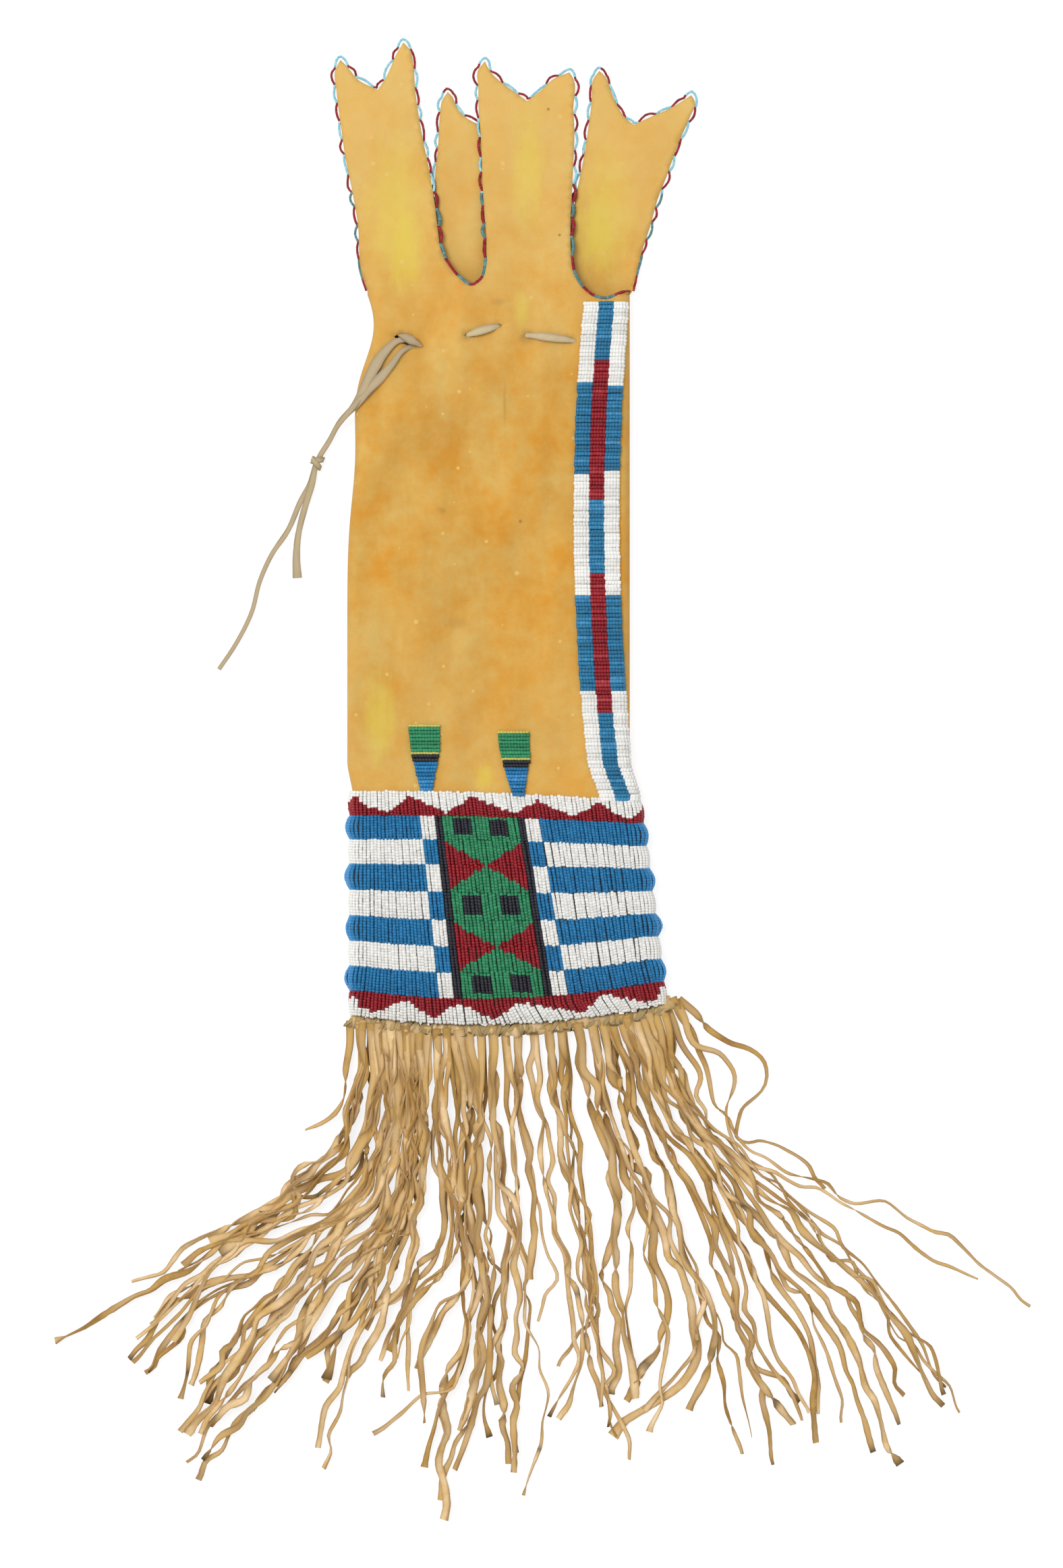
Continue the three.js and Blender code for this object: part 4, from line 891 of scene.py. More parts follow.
def thong_tree():
    """A thong along each line, with as many sides as its section has: four for a strip, eight for a roll."""
    if "thongs" in bpy.data.node_groups:
        return bpy.data.node_groups["thongs"]
    tree, given, result = new_group(
        "thongs", 'GeometryNodeTree',
        [("Lines", 'NodeSocketGeometry', None), ("Width", 'NodeSocketFloat', 0.004),
         ("Thickness", 'NodeSocketFloat', 0.0012), ("Sides", 'NodeSocketInt', 4),
         ("Material", 'NodeSocketMaterial', None)],
        [("Thongs", 'NodeSocketGeometry')])
    curves = add_node(tree, 'GeometryNodeMeshToCurve', {"Mesh": given.outputs["Lines"]})
    turned = add_node(tree, 'GeometryNodeSetCurveNormal', {
        "Curve": curves.outputs["Curve"], "Normal": mesh_value(tree, "normal", 'FLOAT_VECTOR')}, mode='FREE')
    body = add_node(tree, 'GeometryNodeCurveToMesh', {
        "Curve": turned.outputs["Curve"], "Profile Curve": thong_section(tree, given),
        "Scale": mesh_value(tree, "girth", 'FLOAT'), "Fill Caps": True})
    real = add_node(tree, 'GeometryNodeRealizeInstances', {"Geometry": body.outputs["Mesh"]})
    soft = add_node(tree, 'GeometryNodeSetShadeSmooth', {"Geometry": real.outputs["Geometry"]})
    bend = add_node(tree, 'GeometryNodeInputMeshEdgeAngle').outputs["Unsigned Angle"]
    smooth = add_node(tree, 'GeometryNodeSetShadeSmooth', {
        "Geometry": soft.outputs["Geometry"], "Selection": calc(tree, 'GREATER_THAN', bend, 1.0),
        "Shade Smooth": False}, domain='EDGE')
    painted = add_node(tree, 'GeometryNodeSetMaterial', {
        "Geometry": smooth.outputs["Geometry"], "Material": given.outputs["Material"]})
    connect(tree, result, {"Thongs": painted.outputs["Geometry"]})
    return tree


def grow(piece, tree, values):
    """Runs a tree on a piece and keeps its result as the piece's own mesh."""
    modifier = piece.modifiers.new(tree.name, 'NODES')
    modifier.node_group = tree
    sockets = {item.name: item.identifier for item in tree.interface.items_tree if item.in_out == 'INPUT'}
    for name, value in values.items():
        modifier[sockets[name]] = value
    keep_result(piece)


def keep_result(piece):
    """Turns what a piece's modifiers make into its own mesh."""
    seed = piece.data
    evaluated = piece.evaluated_get(bpy.context.evaluated_depsgraph_get())
    result = bpy.data.meshes.new_from_object(evaluated)
    piece.modifiers.clear()
    piece.data = result
    bpy.data.meshes.remove(seed)
    result.name = piece.name


def new_piece(name, mesh):
    piece = bpy.data.objects.new(name, mesh)
    bpy.context.scene.collection.objects.link(piece)
    return piece


def settle(piece, nodes=()):
    """Ties a finished piece to the bag, and hides the solids that it stands for."""
    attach(piece, BODY)
    if nodes:
        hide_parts(*nodes)


def bead_piece(name, beads, material, nodes=()):
    mesh = bpy.data.meshes.new(name)
    mesh.from_pydata([bead.place * MM for bead in beads], [], [])
    for key, scale in (("along", 1.0), ("out", 1.0), ("size", MM)):
        values = np.array([getattr(bead, key) for bead in beads], np.float32) * scale
        mesh.attributes.new(key, 'FLOAT_VECTOR', 'POINT').data.foreach_set("vector", values.ravel())
    tones_and_glints = np.array([bead.tone for bead in beads], np.float32)
    mesh.attributes.new("tone", 'FLOAT', 'POINT').data.foreach_set("value", tones_and_glints)
    piece = new_piece(name, mesh)
    grow(piece, bead_tree(), {"Material": material})
    settle(piece, nodes)
    return piece


def thong_piece(name, strands, width, thickness, material, sides=4):
    points = np.concatenate([strand.points for strand in strands]) * MM
    edges = []
    first = 0
    for strand in strands:
        last = first + len(strand.points) - 1
        edges += [(i, i + 1) for i in range(first, last)]
        if strand.closed:
            edges.append((last, first))
        first = last + 1
    mesh = bpy.data.meshes.new(name)
    mesh.from_pydata(points, edges, [])
    normals = np.concatenate([strand.normals for strand in strands]).astype(np.float32)
    mesh.attributes.new("normal", 'FLOAT_VECTOR', 'POINT').data.foreach_set("vector", normals.ravel())
    for key in ("girth", "shade", "tip"):
        values = np.concatenate([getattr(strand, key) for strand in strands]).astype(np.float32)
        mesh.attributes.new(key, 'FLOAT', 'POINT').data.foreach_set("value", values)
    piece = new_piece(name, mesh)
    grow(piece, thong_tree(), {
        "Width": width * MM, "Thickness": thickness * MM, "Sides": sides, "Material": material})
    return piece


def half_height(girth, width, thickness, tilt):
    """Half of what a strip takes up in height once it is turned about its line."""
    return girth * (width / 2 * np.abs(np.sin(tilt)) + thickness / 2 * np.abs(np.cos(tilt)))


def flat_strand(points, girth=1.0, shade=0.5, tilt=0.0, tip=0.0):
    """Strand whose flat side faces up, turned about its own line by a tilt."""
    count = len(points)
    along = unit(np.gradient(points, axis=0))
    across = unit(np.cross(UP, along))
    up = np.cross(along, across)
    tilt = np.broadcast_to(tilt, count)[:, None]
    normals = np.cos(tilt) * up + np.sin(tilt) * across
    return Strand(points, normals, *(np.broadcast_to(v, count) for v in (girth, shade, tip)), False)


# Hide

def lens(centre, angle, length, width):
    """Outline of a slit pulled open."""
    turn = np.linspace(0, 2 * math.pi, 14, endpoint=False)
    x, y = length / 2 * np.cos(turn), width / 2 * np.sin(turn) * np.abs(np.sin(turn)) ** 0.5
    cos, sin = math.cos(angle), math.sin(angle)
    return [(centre[0] + a * cos - b * sin, centre[1] + a * sin + b * cos) for a, b in zip(x, y)]


def slits():
    holes = [lens(*EXIT_SLIT)]
    for start, end in STITCHES:
        angle = math.atan2(end[1] - start[1], end[0] - start[0])
        holes += [lens(place, angle, *STITCH_SLIT) for place in (start, end)]
    return holes


def fold_rows(share):
    """Rows up a fold, which the front, the back and the fold share: height and section."""
    lanes = np.linspace(LANES, 0, PANEL_ROWS, endpoint=False)
    rows = [(panel_y(share, lane), panel_section(lane)) for lane in lanes]
    return rows + [(y, tube_section(y)) for y in np.linspace(panel_y(share, 0), MOUTH_Y, TUBE_ROWS)]


def ear_line(edge):
    """Points along an ears' edge, smooth within each run."""
    return np.concatenate([smooth_run(run, EAR_STEP)[:-1] for run in edge] + [np.array(edge[-1][-1:])])


def sheet_outline(edge, front):
    """Outline of the front or the back: foot, right fold, ears and left fold."""
    foot_section = panel_section(LANES)
    foot = [(lerp(foot_section.flat_left, foot_section.flat_right, share), panel_y(share, LANES))
            for share in np.linspace(0, 1, FOOT_STEPS + 1)]
    right = [(section.flat_right, y) for y, section in fold_rows(1)[1:]]
    left = [(section.flat_left, y) for y, section in fold_rows(0)[1:]]
    top = tube_section(MOUTH_Y)
    quarter = np.linspace(0, math.pi / 2, FOLD_STEPS // 2 + 1)
    if front:
        corner = [(top.flat_left - top.radius * math.cos(turn), MOUTH_Y) for turn in quarter[:-1]]
        outline = foot + right + [tuple(p) for p in ear_line(edge)] + corner + left[::-1]
    else:
        corner = [(top.flat_right + top.radius * math.sin(turn), MOUTH_Y) for turn in quarter[1:]]
        outline = foot + right + corner + [tuple(p) for p in ear_line(edge)] + left[::-1]
    kept = [outline[0]]
    for point in outline[1:]:
        if math.dist(point, kept[-1]) > CLOSEST:
            kept.append(point)
    return kept


def within(points, loop):
    """Which points lie inside a closed loop."""
    x, y = points[:, 0], points[:, 1]
    inside = np.zeros(len(points), bool)
    for (x0, y0), (x1, y1) in zip(loop, loop[1:] + loop[:1]):
        if y0 != y1:
            inside ^= ((y0 > y) != (y1 > y)) & (x < (x1 - x0) * (y - y0) / (y1 - y0) + x0)
    return inside


def fill_sheet(outline, holes):
    """Evenly meshed sheet inside an outline and outside its holes: points and triangles."""
    points, edges = [], []
    for loop in [outline, *holes]:
        first = len(points)
        points += loop
        edges += [(first + i, first + (i + 1) % len(loop)) for i in range(len(loop))]
    border = np.array(points)
    low, high = border.min(axis=0), border.max(axis=0)
    rows = []
    for i, y in enumerate(np.arange(low[1], high[1], HIDE_STEP * ROW_SHARE)):
        x = np.arange(low[0] + (i % 2) * HIDE_STEP / 2, high[0], HIDE_STEP)
        rows.append(np.stack([x, np.full(len(x), y)], axis=1))
    grid = np.concatenate(rows)
    keep = within(grid, outline)
    for hole in holes:
        keep &= ~within(grid, hole)
    grid = grid[keep]
    gaps = np.concatenate([np.linalg.norm(part[:, None] - border[None], axis=2).min(axis=1)
                           for part in np.array_split(grid, GAP_PARTS)])
    grid = grid[gaps > HIDE_STEP * BORDER_GAP]
    vectors = [Vector(point) for point in points] + [Vector(point) for point in grid]
    corners, _, faces, *_ = delaunay_2d_cdt(vectors, edges, [], 0, 1e-4, False)
    corners = np.array(corners)
    centres = corners[np.array(faces)].mean(axis=1)
    inside = within(centres, outline)
    for hole in holes:
        inside &= ~within(centres, hole)
    return corners, [face for face, kept in zip(faces, inside) if kept]


def add_sheet(mesh, outline, holes, height, upwards):
    corners, faces = fill_sheet(outline, holes)
    verts = [mesh.verts.new((x, y, height(x, y))) for x, y in corners]
    for a, b, c in faces:
        turn = np.cross(corners[b] - corners[a], corners[c] - corners[a])
        mesh.faces.new([verts[i] for i in ((a, b, c) if (turn > 0) == upwards else (a, c, b))])


def add_fold(mesh, share):
    """Half round between the front and the back, on the left (0) or the right (1)."""
    grid = []
    for y, section in fold_rows(share):
        flat = section.flat_left if share == 0 else section.flat_right
        row = []
        for turn in np.linspace(0, 1, FOLD_STEPS + 1):
            angle = FRONT + math.pi * turn if share == 0 else FRONT - math.pi * turn
            x, z = on_section(section, share, angle)
            if turn == 0:
                x, z = flat, front_height(flat, y)
            elif turn == 1:
                x, z = flat, back_height(flat, y)
            row.append(mesh.verts.new((x, y, z)))
        grid.append(row)
    for low, high in zip(grid, grid[1:]):
        for i in range(FOLD_STEPS):
            corners = (low[i], low[i + 1], high[i + 1], high[i])
            mesh.faces.new(corners if share == 1 else corners[::-1])
    foot = grid[0]
    mesh.faces.new(foot if share == 0 else foot[::-1])


def add_foot(mesh):
    """Seam that closes the front on to the back along the foot."""
    section = panel_section(LANES)
    rows = []
    for share in np.linspace(0, 1, FOOT_STEPS + 1):
        x, y = lerp(section.flat_left, section.flat_right, share), panel_y(share, LANES)
        rows.append((mesh.verts.new((x, y, front_height(x, y))), mesh.verts.new((x, y, back_height(x, y)))))
    for (top, low), (next_top, next_low) in zip(rows, rows[1:]):
        mesh.faces.new((top, low, next_low, next_top))


def make_hide(settings):
    mesh = bmesh.new()
    add_sheet(mesh, sheet_outline(FRONT_EDGE, True), slits(), front_height, True)
    add_sheet(mesh, sheet_outline(BACK_EDGE, False), [], back_height, False)
    add_fold(mesh, 0)
    add_fold(mesh, 1)
    add_foot(mesh)
    bmesh.ops.remove_doubles(mesh, verts=mesh.verts, dist=WELD)
    bmesh.ops.scale(mesh, vec=(MM, MM, MM), verts=mesh.verts)
    data = bpy.data.meshes.new("hide")
    mesh.to_mesh(data)
    mesh.free()
    data.shade_smooth()
    data.materials.append(hide_material(settings))
    piece = new_piece("hide", data)
    wall = piece.modifiers.new("wall", 'SOLIDIFY')
    wall.thickness = settings.thickness
    wall.offset = -1
    keep_result(piece)
    settle(piece, ["bag_hide"])
    return piece


# Beadwork

def column_x(lane):
    return COLUMN_X + COLUMN_LEAN * (lane - 1) / STRIPES


def column_share(offset, lane):
    x = column_x(lane) + offset * (1 + COLUMN_SPREAD * (lane - 1) / STRIPES)
    return share_of(panel_section(lane), x)


def panel_strings(lane):
    """Strings of beads across one lane, all the way round the bag."""
    section = panel_section(lane + 0.5)
    width = section.flat_right - section.flat_left
    strings = []
    for k in range(-LAST_STRING, LAST_STRING + 1):
        start, end = (column_share(k * COLUMN_STEP, value) for value in (lane, lane + 1))
        strings.append(String(start, end, FRONT, (start + end) / 2, k))
    for side, fold in ((-1, 0.0), (1, 1.0)):
        edge = side * (LAST_STRING + 0.5) * COLUMN_STEP
        near = [column_share(edge, value) for value in (lane, lane + 1)]
        count = round(abs(fold - sum(near) / 2) * width / BEAD_STEP)
        for i in range(count):
            start, end = (lerp(value, fold, (i + 0.5) / count) for value in near)
            strings.append(String(start, end, FRONT, (start + end) / 2, None))
    round_fold = round(math.pi * (section.radius + FOLD_LIFT) / BEAD_STEP)
    for i in range(round_fold):
        turn = (i + 0.5) / round_fold
        strings.append(String(1, 1, FRONT - math.pi * turn, 1 + turn, None))
        strings.append(String(0, 0, BACK - math.pi * turn, 3 + turn, None))
    count = round(width / BEAD_STEP)
    for i in range(count):
        turn = (i + 0.5) / count
        strings.append(String(1 - turn, 1 - turn, BACK, 2 + turn, None))
    return strings


def zigzag(lane, turns, peak):
    """Line between white and red round a border, as a share of its lane: rings and values."""
    section = panel_section(lane + 0.5)
    front = [share_of(section, x) for x in turns]
    back = np.linspace(*BACK_SPAN, len(turns))
    rings = [LEFT_PEAK - 4, *front, peak, *back, LEFT_PEAK, 4 + front[0]]
    low = [1 - i % 2 for i in range(len(turns))]
    return rings, [0, *low, 0, *low, 0, 1]


def border_node(value, ring, lane, lines):
    reach = TOP_REACH if lane == 0 else FOOT_REACH
    line = lerp(*reach, float(np.interp(ring, *lines[lane])))
    above = value - lane < line
    name = "top" if lane == 0 else "bottom"
    return f"border_{name}_{'white' if above == (lane == 0) else 'red'}"


def column_node(value, offset):
    side = "left" if offset < 0 else "right"
    away = [abs(value - middle) for middle in HEXAGON_LANES]
    hexagon = away.index(min(away))
    centre = HEXAGON_LANES[hexagon]
    across = abs(offset) * COLUMN_STEP
    if abs(value + SQUARE_RISE - centre) < SQUARE_LANES and abs(across - SQUARE_OFFSET) < SQUARE_HALF:
        return f"square_{hexagon + 1}_{side}"
    share = clamp((HEXAGON_REACH - away[hexagon]) / (HEXAGON_REACH - HEXAGON_SHOULDER))
    if across <= max(HEXAGON_HALF * share, LEAST_GREEN):
        return "hexagons_green"
    return f"red_{'upper' if value < HEXAGON_LANES[1] else 'lower'}_{side}"


def panel_node(value, lane, string, lines):
    """The solid that a bead belongs to."""
    if lane in lines:
        return border_node(value, string.ring, lane, lines)
    colours = ("blue", "white") if lane % 2 else ("white", "blue")
    if string.offset is None:
        return f"stripe_{lane}_{colours[0]}"
    side = "left" if string.offset < 0 else "right"
    if abs(string.offset) >= CHECK_STRING:
        return f"check_{lane}_{side}_{colours[1]}"
    if abs(string.offset) >= RAIL_STRING:
        return f"rail_{side}"
    return column_node(value, string.offset)


def bead_size(width, length, random):
    """Height off the hide, width across the string and length along it."""
    sizes = [share * width * random.uniform(*spread) for share, *spread in (BEAD_HEIGHT, BEAD_WIDTH)]
    return *sizes, length


def seat(place, value, reach):
    """Where a bead sits on its string, which way the string runs there, and which way is out of the hide."""
    here = place(value)
    return here, unit(place(value + reach) - place(value - reach)), unit(place(value, 1.0) - here)


def string_slack(string, lane, crown, random):
    """How one string of the panel strays from its even place."""
    crown *= random.uniform(*CROWN_SPREAD)
    crown *= clamp(FULL_CROWN + CROWN_FALL * math.sin(string.angle), 0.0, FULL_CROWN)
    crown *= lerp(1.0, FOLD_CROWNS[lane % 2], abs(math.cos(string.angle)))
    loose = lerp(*DRIFT, string.ring) * (0 < string.ring < 1)
    drift, lean = random.normal(0, 1, 2) * loose
    splay = SPLAY * smoothstep(string.ring, *SPLAY_RISE) * (1 - smoothstep(string.ring, *SPLAY_FALL))
    return Slack(crown, drift, lean, splay * (lane == LANES - 1), NUDGE * loose * random.normal())


def panel_place(string, lane, slack, base, value, lift=0.0):
    """Place on a string of the panel, some way down its lane and off the hide."""
    down = value - lane
    share = lerp(string.start, string.end, down) + slack.drift + slack.lean * (down - 0.5)
    share += slack.splay * max(down - SPLAY_FROM, 0)
    arch = slack.crown * math.sin(math.pi * clamp(down))
    return panel_point(share, string.angle, value + slack.nudge, base + arch + lift)


def panel_beads(settings, random):
    beads = defaultdict(list)
    foot = LANES - 1
    lines = {0: zigzag(0, TOP_TURNS, TOP_PEAK), foot: zigzag(foot, FOOT_TURNS, FOOT_PEAK)}
    width = settings.width / MM
    half = 0.5 / LANE_BEADS
    for lane in range(LANES):
        for string in panel_strings(lane):
            slack = string_slack(string, lane, settings.crown / MM, random)
            place = partial(panel_place, string, lane, slack, width / 2)
            sideways = abs(math.cos(string.angle))
            glint = FOLD_GLINT * sideways ** 2 * (lane % 2)
            for step in range(LANE_BEADS):
                value = lane + (step + 0.5) / LANE_BEADS
                here, along, out = seat(place, value, reach=0.04)
                length = np.linalg.norm(place(value + half) - place(value - half)) * BEAD_FILL
                # Beads round the folds lean to the light end, and those of blue lanes on to a painted glint,
                # a painted highlight where the glass turns away
                tone = lerp(random.random(), 1 + glint, sideways)
                size = bead_size(width, length, random)
                bead = Bead(here + random.normal(0, BEAD_JITTER, 3), along, out, size, tone)
                beads[panel_node(value, lane, string, lines)].append(bead)
    return beads


def strip_point(across, y, lift):
    section = tube_section(y)
    right = section.flat_right + section.radius
    share = (y - STRIP_FOOT_Y) / (STRIP_TOP_Y - STRIP_FOOT_Y)
    x = right - bow(*STRIP_INSET, share) + across
    beyond = max(x - section.flat_right, 0.0)
    flat_share = min(share_of(section, x), 1.0)
    x, z = on_section(section, flat_share, FRONT - beyond / (section.radius + lift), lift)
    return np.array((x, y, z))


def strip_node(name, blocks, y):
    edge = STRIP_TOP_Y
    for i, (colour, length) in enumerate(blocks):
        edge -= length
        if y > edge or i == len(blocks) - 1:
            return f"strip_{name}_{colour}_{i + 1}"


def strip_place(lane, y, shift, crown, base, share, lift=0.0):
    """Place on a row of the strip, some way across its lane and off the hide."""
    across = (lane - 1.5 + share) * STRIP_LANE + shift
    return strip_point(across, y, base + crown * math.sin(math.pi * clamp(share)) + lift)


def strip_beads(settings, random):
    beads = defaultdict(list)
    width = settings.width / MM
    length = STRIP_LANE / STRIP_BEADS * STRIP_FILL
    rows = round((STRIP_TOP_Y - STRIP_FOOT_Y) / BEAD_STEP)
    for lane, (name, blocks) in enumerate(STRIP_LANES):
        for row in range(rows):
            y = lerp(STRIP_TOP_Y, STRIP_FOOT_Y, (row + 0.5) / rows) + random.normal(0, STRIP_STRAY[0])
            crown = STRIP_CROWN * settings.crown / MM * random.uniform(0.85, 1.15)
            shift = random.normal(0, STRIP_STRAY[1])
            # Rows differ at random, and some go past 1 on to a painted highlight
            row_tone_and_glint = random.uniform(-0.2, 1.4)
            place = partial(strip_place, lane, y, shift, crown, width / 2)
            for step in range(STRIP_BEADS):
                here, along, out = seat(place, (step + 0.5) / STRIP_BEADS, reach=0.05)
                size = bead_size(STRIP_WIDTH * width, length, random)
                tone = row_tone_and_glint + random.uniform(-0.2, 0.2)
                bead = Bead(here + random.normal(0, BEAD_JITTER, 3), along, out, size, tone)
                beads[strip_node(name, blocks, y)].append(bead)
    return beads


def tab_beads(settings, random):
    beads = defaultdict(list)
    tall = settings.width / MM
    rows = [(colour, height) for colour, count, height in TAB_BANDS for _ in range(count)]
    total = sum(height for _, height in rows)
    for (top_x, top_y), (foot_x, foot_y) in TABS:
        depth = 0.0
        for colour, height in rows:
            down = (depth + height / 2) / total
            depth += height
            width = TAB_FILL * height * (top_y - foot_y) / total
            middle = lerp(top_x, foot_x, down) + random.normal(0, TAB_STRAY)
            y = lerp(top_y, foot_y, down)
            across = float(np.interp(1 - down, TAB_SHARES, TAB_WIDTHS))
            count = round(across / TAB_BEAD_STEP)
            base = section_at(middle, y)
            level = base.middle + base.radius + tall - width / 2
            level += TAB_RISE[0] * smoothstep(-y, *TAB_RISE[1:])
            # Rows differ at random, and some go past 1 on to a painted highlight
            row_tone_and_glint = random.uniform(-0.2, 1.5)
            for i in range(count):
                share = (i + 0.5) / count
                slope = TAB_CROWN * math.pi * math.cos(math.pi * share) / across
                crown = TAB_CROWN * math.sin(math.pi * share)
                here = np.array((middle + across * (share - 0.5), y, level + crown))
                along = unit(np.array((1.0, 0.0, slope)))
                size = bead_size(width, across / count * STRIP_FILL, random)
                tone = row_tone_and_glint + random.uniform(-0.2, 0.2)
                beads[colour].append(Bead(here + random.normal(0, TAB_JITTER, 3), along, UP, size, tone))
    return beads


def edge_string(line, height, inwards, size, random):
    """Looped string along an ears' edge, and how many scallops it has made at each point."""
    along = np.gradient(line, axis=0)
    along = unit(np.stack([windows(column, EDGE_SMOOTHING).sum(axis=0) for column in along.T], axis=1))
    out = np.stack([along[:, 1], -along[:, 0]], axis=1)
    reach = np.arange(len(line)) * EDGE_STEP
    scallop = reach / SCALLOP + np.array([0.3 * ripple(s, 0.0, 14.0) for s in reach]) + 1
    loose = np.array([smoothstep(y, *SCALLOP_ROOTS) for y in line[:, 1]])
    swing = random.uniform(*SCALLOP_SWING, int(scallop[-1]) + 2)[scallop.astype(int)]
    bulge = 0.25 * size + lerp(FLAT_SWING, swing, loose) * np.sin(math.pi * (scallop % 1))
    rising = np.diff(line[:, 1]) > 0
    for tip in np.flatnonzero(rising[:-1] & ~rising[1:]) + 1:
        bulge = np.maximum(bulge, TIP_LOOP * np.exp(-((reach - reach[tip]) / TIP_REACH) ** 2))
    level = [max(height(*point) + inwards, 0.55 * size) for point in line]
    return np.column_stack([line + out * bulge[:, None], level]), scallop


def edging_beads(edge, height, inwards, settings, random):
    """Scallops of beads along an ears' edge, red and pale in turn, flat in the slits between the ears."""
    beads = defaultdict(list)
    size = settings.edge_width / MM
    string, scallop = edge_string(even_run(edge, EDGE_STEP), height, inwards, size, random)
    reach = reach_along(string)
    places = np.arange(0, reach[-1], EDGE_BEAD_STEP)
    run = points_at(string, reach, places)
    ways = unit(np.gradient(run, axis=0))
    for point, way, turn in zip(run, ways, np.interp(places, reach, scallop)):
        girth = size * random.uniform(0.93, 1.05)
        if SLIT_SPAN[0] < point[0] < SLIT_SPAN[1]:
            girth *= lerp(SLIT_GIRTH, 1.0, smoothstep(point[1], SLIT_TOP_Y - 15, SLIT_TOP_Y + 10))
        size_here = (girth, girth, 1.05 * EDGE_BEAD_STEP)
        # Values past 1 give some beads a painted glint
        bead = Bead(point + random.normal(0, EDGE_JITTER, 3), way, UP, size_here, random.uniform(0, 1.3))
        # Pale beads low in the slits take a darker copy of the pale glass: painted shade
        cool = "pale" if point[1] > SLIT_TOP_Y else "slate"
        beads["red" if int(turn) % 2 else cool].append(bead)
    return beads


def slot_of(node):
    """Colour slot of a solid's beads, from its name."""
    if node.startswith(("rail", "square")):
        return "navy"
    return next(slot for slot in BEAD_SLOTS if slot in node.split("_"))


def make_beads(settings, groups):
    for node, beads in sorted(groups.items()):
        slot = slot_of(node)
        glass = "strip_blue" if slot == "blue" and node.startswith("strip_") else slot
        bead_piece(f"{node}_beads", beads, bead_material(settings, glass), [node])


# Drawstring

def lace_path(start, strand, tail):
    return even_run(smooth_run((*start, *strand, KNOT_PLACE, *tail), LACE_STEP), LACE_POINTS)


def knot_strand(tilt, radius, lean):
    """One turn of the knot round both ends."""
    turn = np.linspace(0, 2 * math.pi, 18, endpoint=False)
    along = unit(np.array(SHORT_TAIL[0]) - np.array(INNER_STRAND[-1]))
    side = unit(np.cross(along, UP))
    up = np.cross(side, along)
    out = np.cos(turn)[:, None] * side + 0.8 * np.sin(turn)[:, None] * up
    points = np.array(KNOT_PLACE) + radius * out + (tilt * np.cos(turn) + lean)[:, None] * along
    even = np.ones(len(turn))
    return Strand(points, unit(out), even, 0.5 * even, 0 * even, True)


def make_lace_end(name, path, girths, settings, material):
    width, thickness = settings.width / MM, settings.thickness / MM
    share = np.linspace(0, 1, len(path))
    wobble = np.array([ripple(40 * s, 3.0, 3.0, len(path)) for s in share])
    girth = np.interp(share, *girths) * (1 + 0.1 * wobble)
    tilt = LACE_TWIST * wobble
    path[:, 2] = np.maximum(path[:, 2], half_height(girth, width, thickness, tilt) + LACE_CLEAR)
    # Darker for the first few millimetres from the slit: painted shade under the fold at the exit
    shade = 0.5 + 0.5 * wobble - 0.6 * np.exp(-share * run_length(path) / 9)
    strand = flat_strand(path, girth, np.clip(shade, 0, 1), tilt)
    return thong_piece(f"drawstring_{name}_end", [strand], width, thickness, material)


def make_drawstring(settings):
    material = thong_material("lace_hide", settings.colour, settings.dark, settings.light)
    knots = [knot_strand(*turn) for turn in KNOT_TURNS]
    knot = thong_piece("drawstring_knot", knots, *KNOT_THONG, material)
    settle(knot)
    ends = []
    for name, start, strand, tail, girths in (("long", LACE_START, OUTER_STRAND, LONG_TAIL, LONG_GIRTHS),
                                              ("short", SHORT_START, INNER_STRAND, SHORT_TAIL, SHORT_GIRTHS)):
        path = lace_path(start, strand, tail)
        piece = make_lace_end(name, path, girths, settings, material)
        settle(piece, ["drawstring"] if name == "long" else [])
        ends.append((piece, path))
    strands = [lacing_strand(), exit_fold()]
    lacing = thong_piece("drawstring_lacing", strands, settings.width / MM, settings.thickness / MM, material)
    settle(lacing)
    for piece, path in ends:
        first = piece is ends[0][0]
        tuple(path[3] * MM)


def exit_fold():
    """The lace doubled over where it leaves the slit."""
    points = smooth_run(EXIT_FOLD, 1.2)
    share = np.linspace(0, 1, len(points))
    girth = np.interp(share, *FOLD_GIRTHS)
    return flat_strand(points, girth, shade=0.1 + 0.3 * share, tilt=lerp(0.7, -0.6, share))


def lacing_strand():
    """The lace inside the neck, which shows at two stitches, turns on the right and runs back behind."""
    points = list(LACE_ENTRY)
    for (x0, y0), (x1, y1) in STITCHES:
        points += [(lerp(x0, x1, share), lerp(y0, y1, share), z, girth) for share, z, girth in STITCH_RUN]
    points += [(*point, 0.9) for point in LACE_RETURN]
    run = smooth_run(points, LACE_STEP)
    return flat_strand(run[:, :3], run[:, 3], 0.9)


# Fringe

def heading_point(share):
    section = panel_section(LANES)
    left, right = section.flat_left - section.radius, section.flat_right + section.radius
    lift = HEADING_LIFT[0] * smoothstep(share, *HEADING_LIFT[1:])
    return np.array((lerp(left, right, share), panel_y(share, LANES) - HEADING_DROP + lift, HEADING_Z))


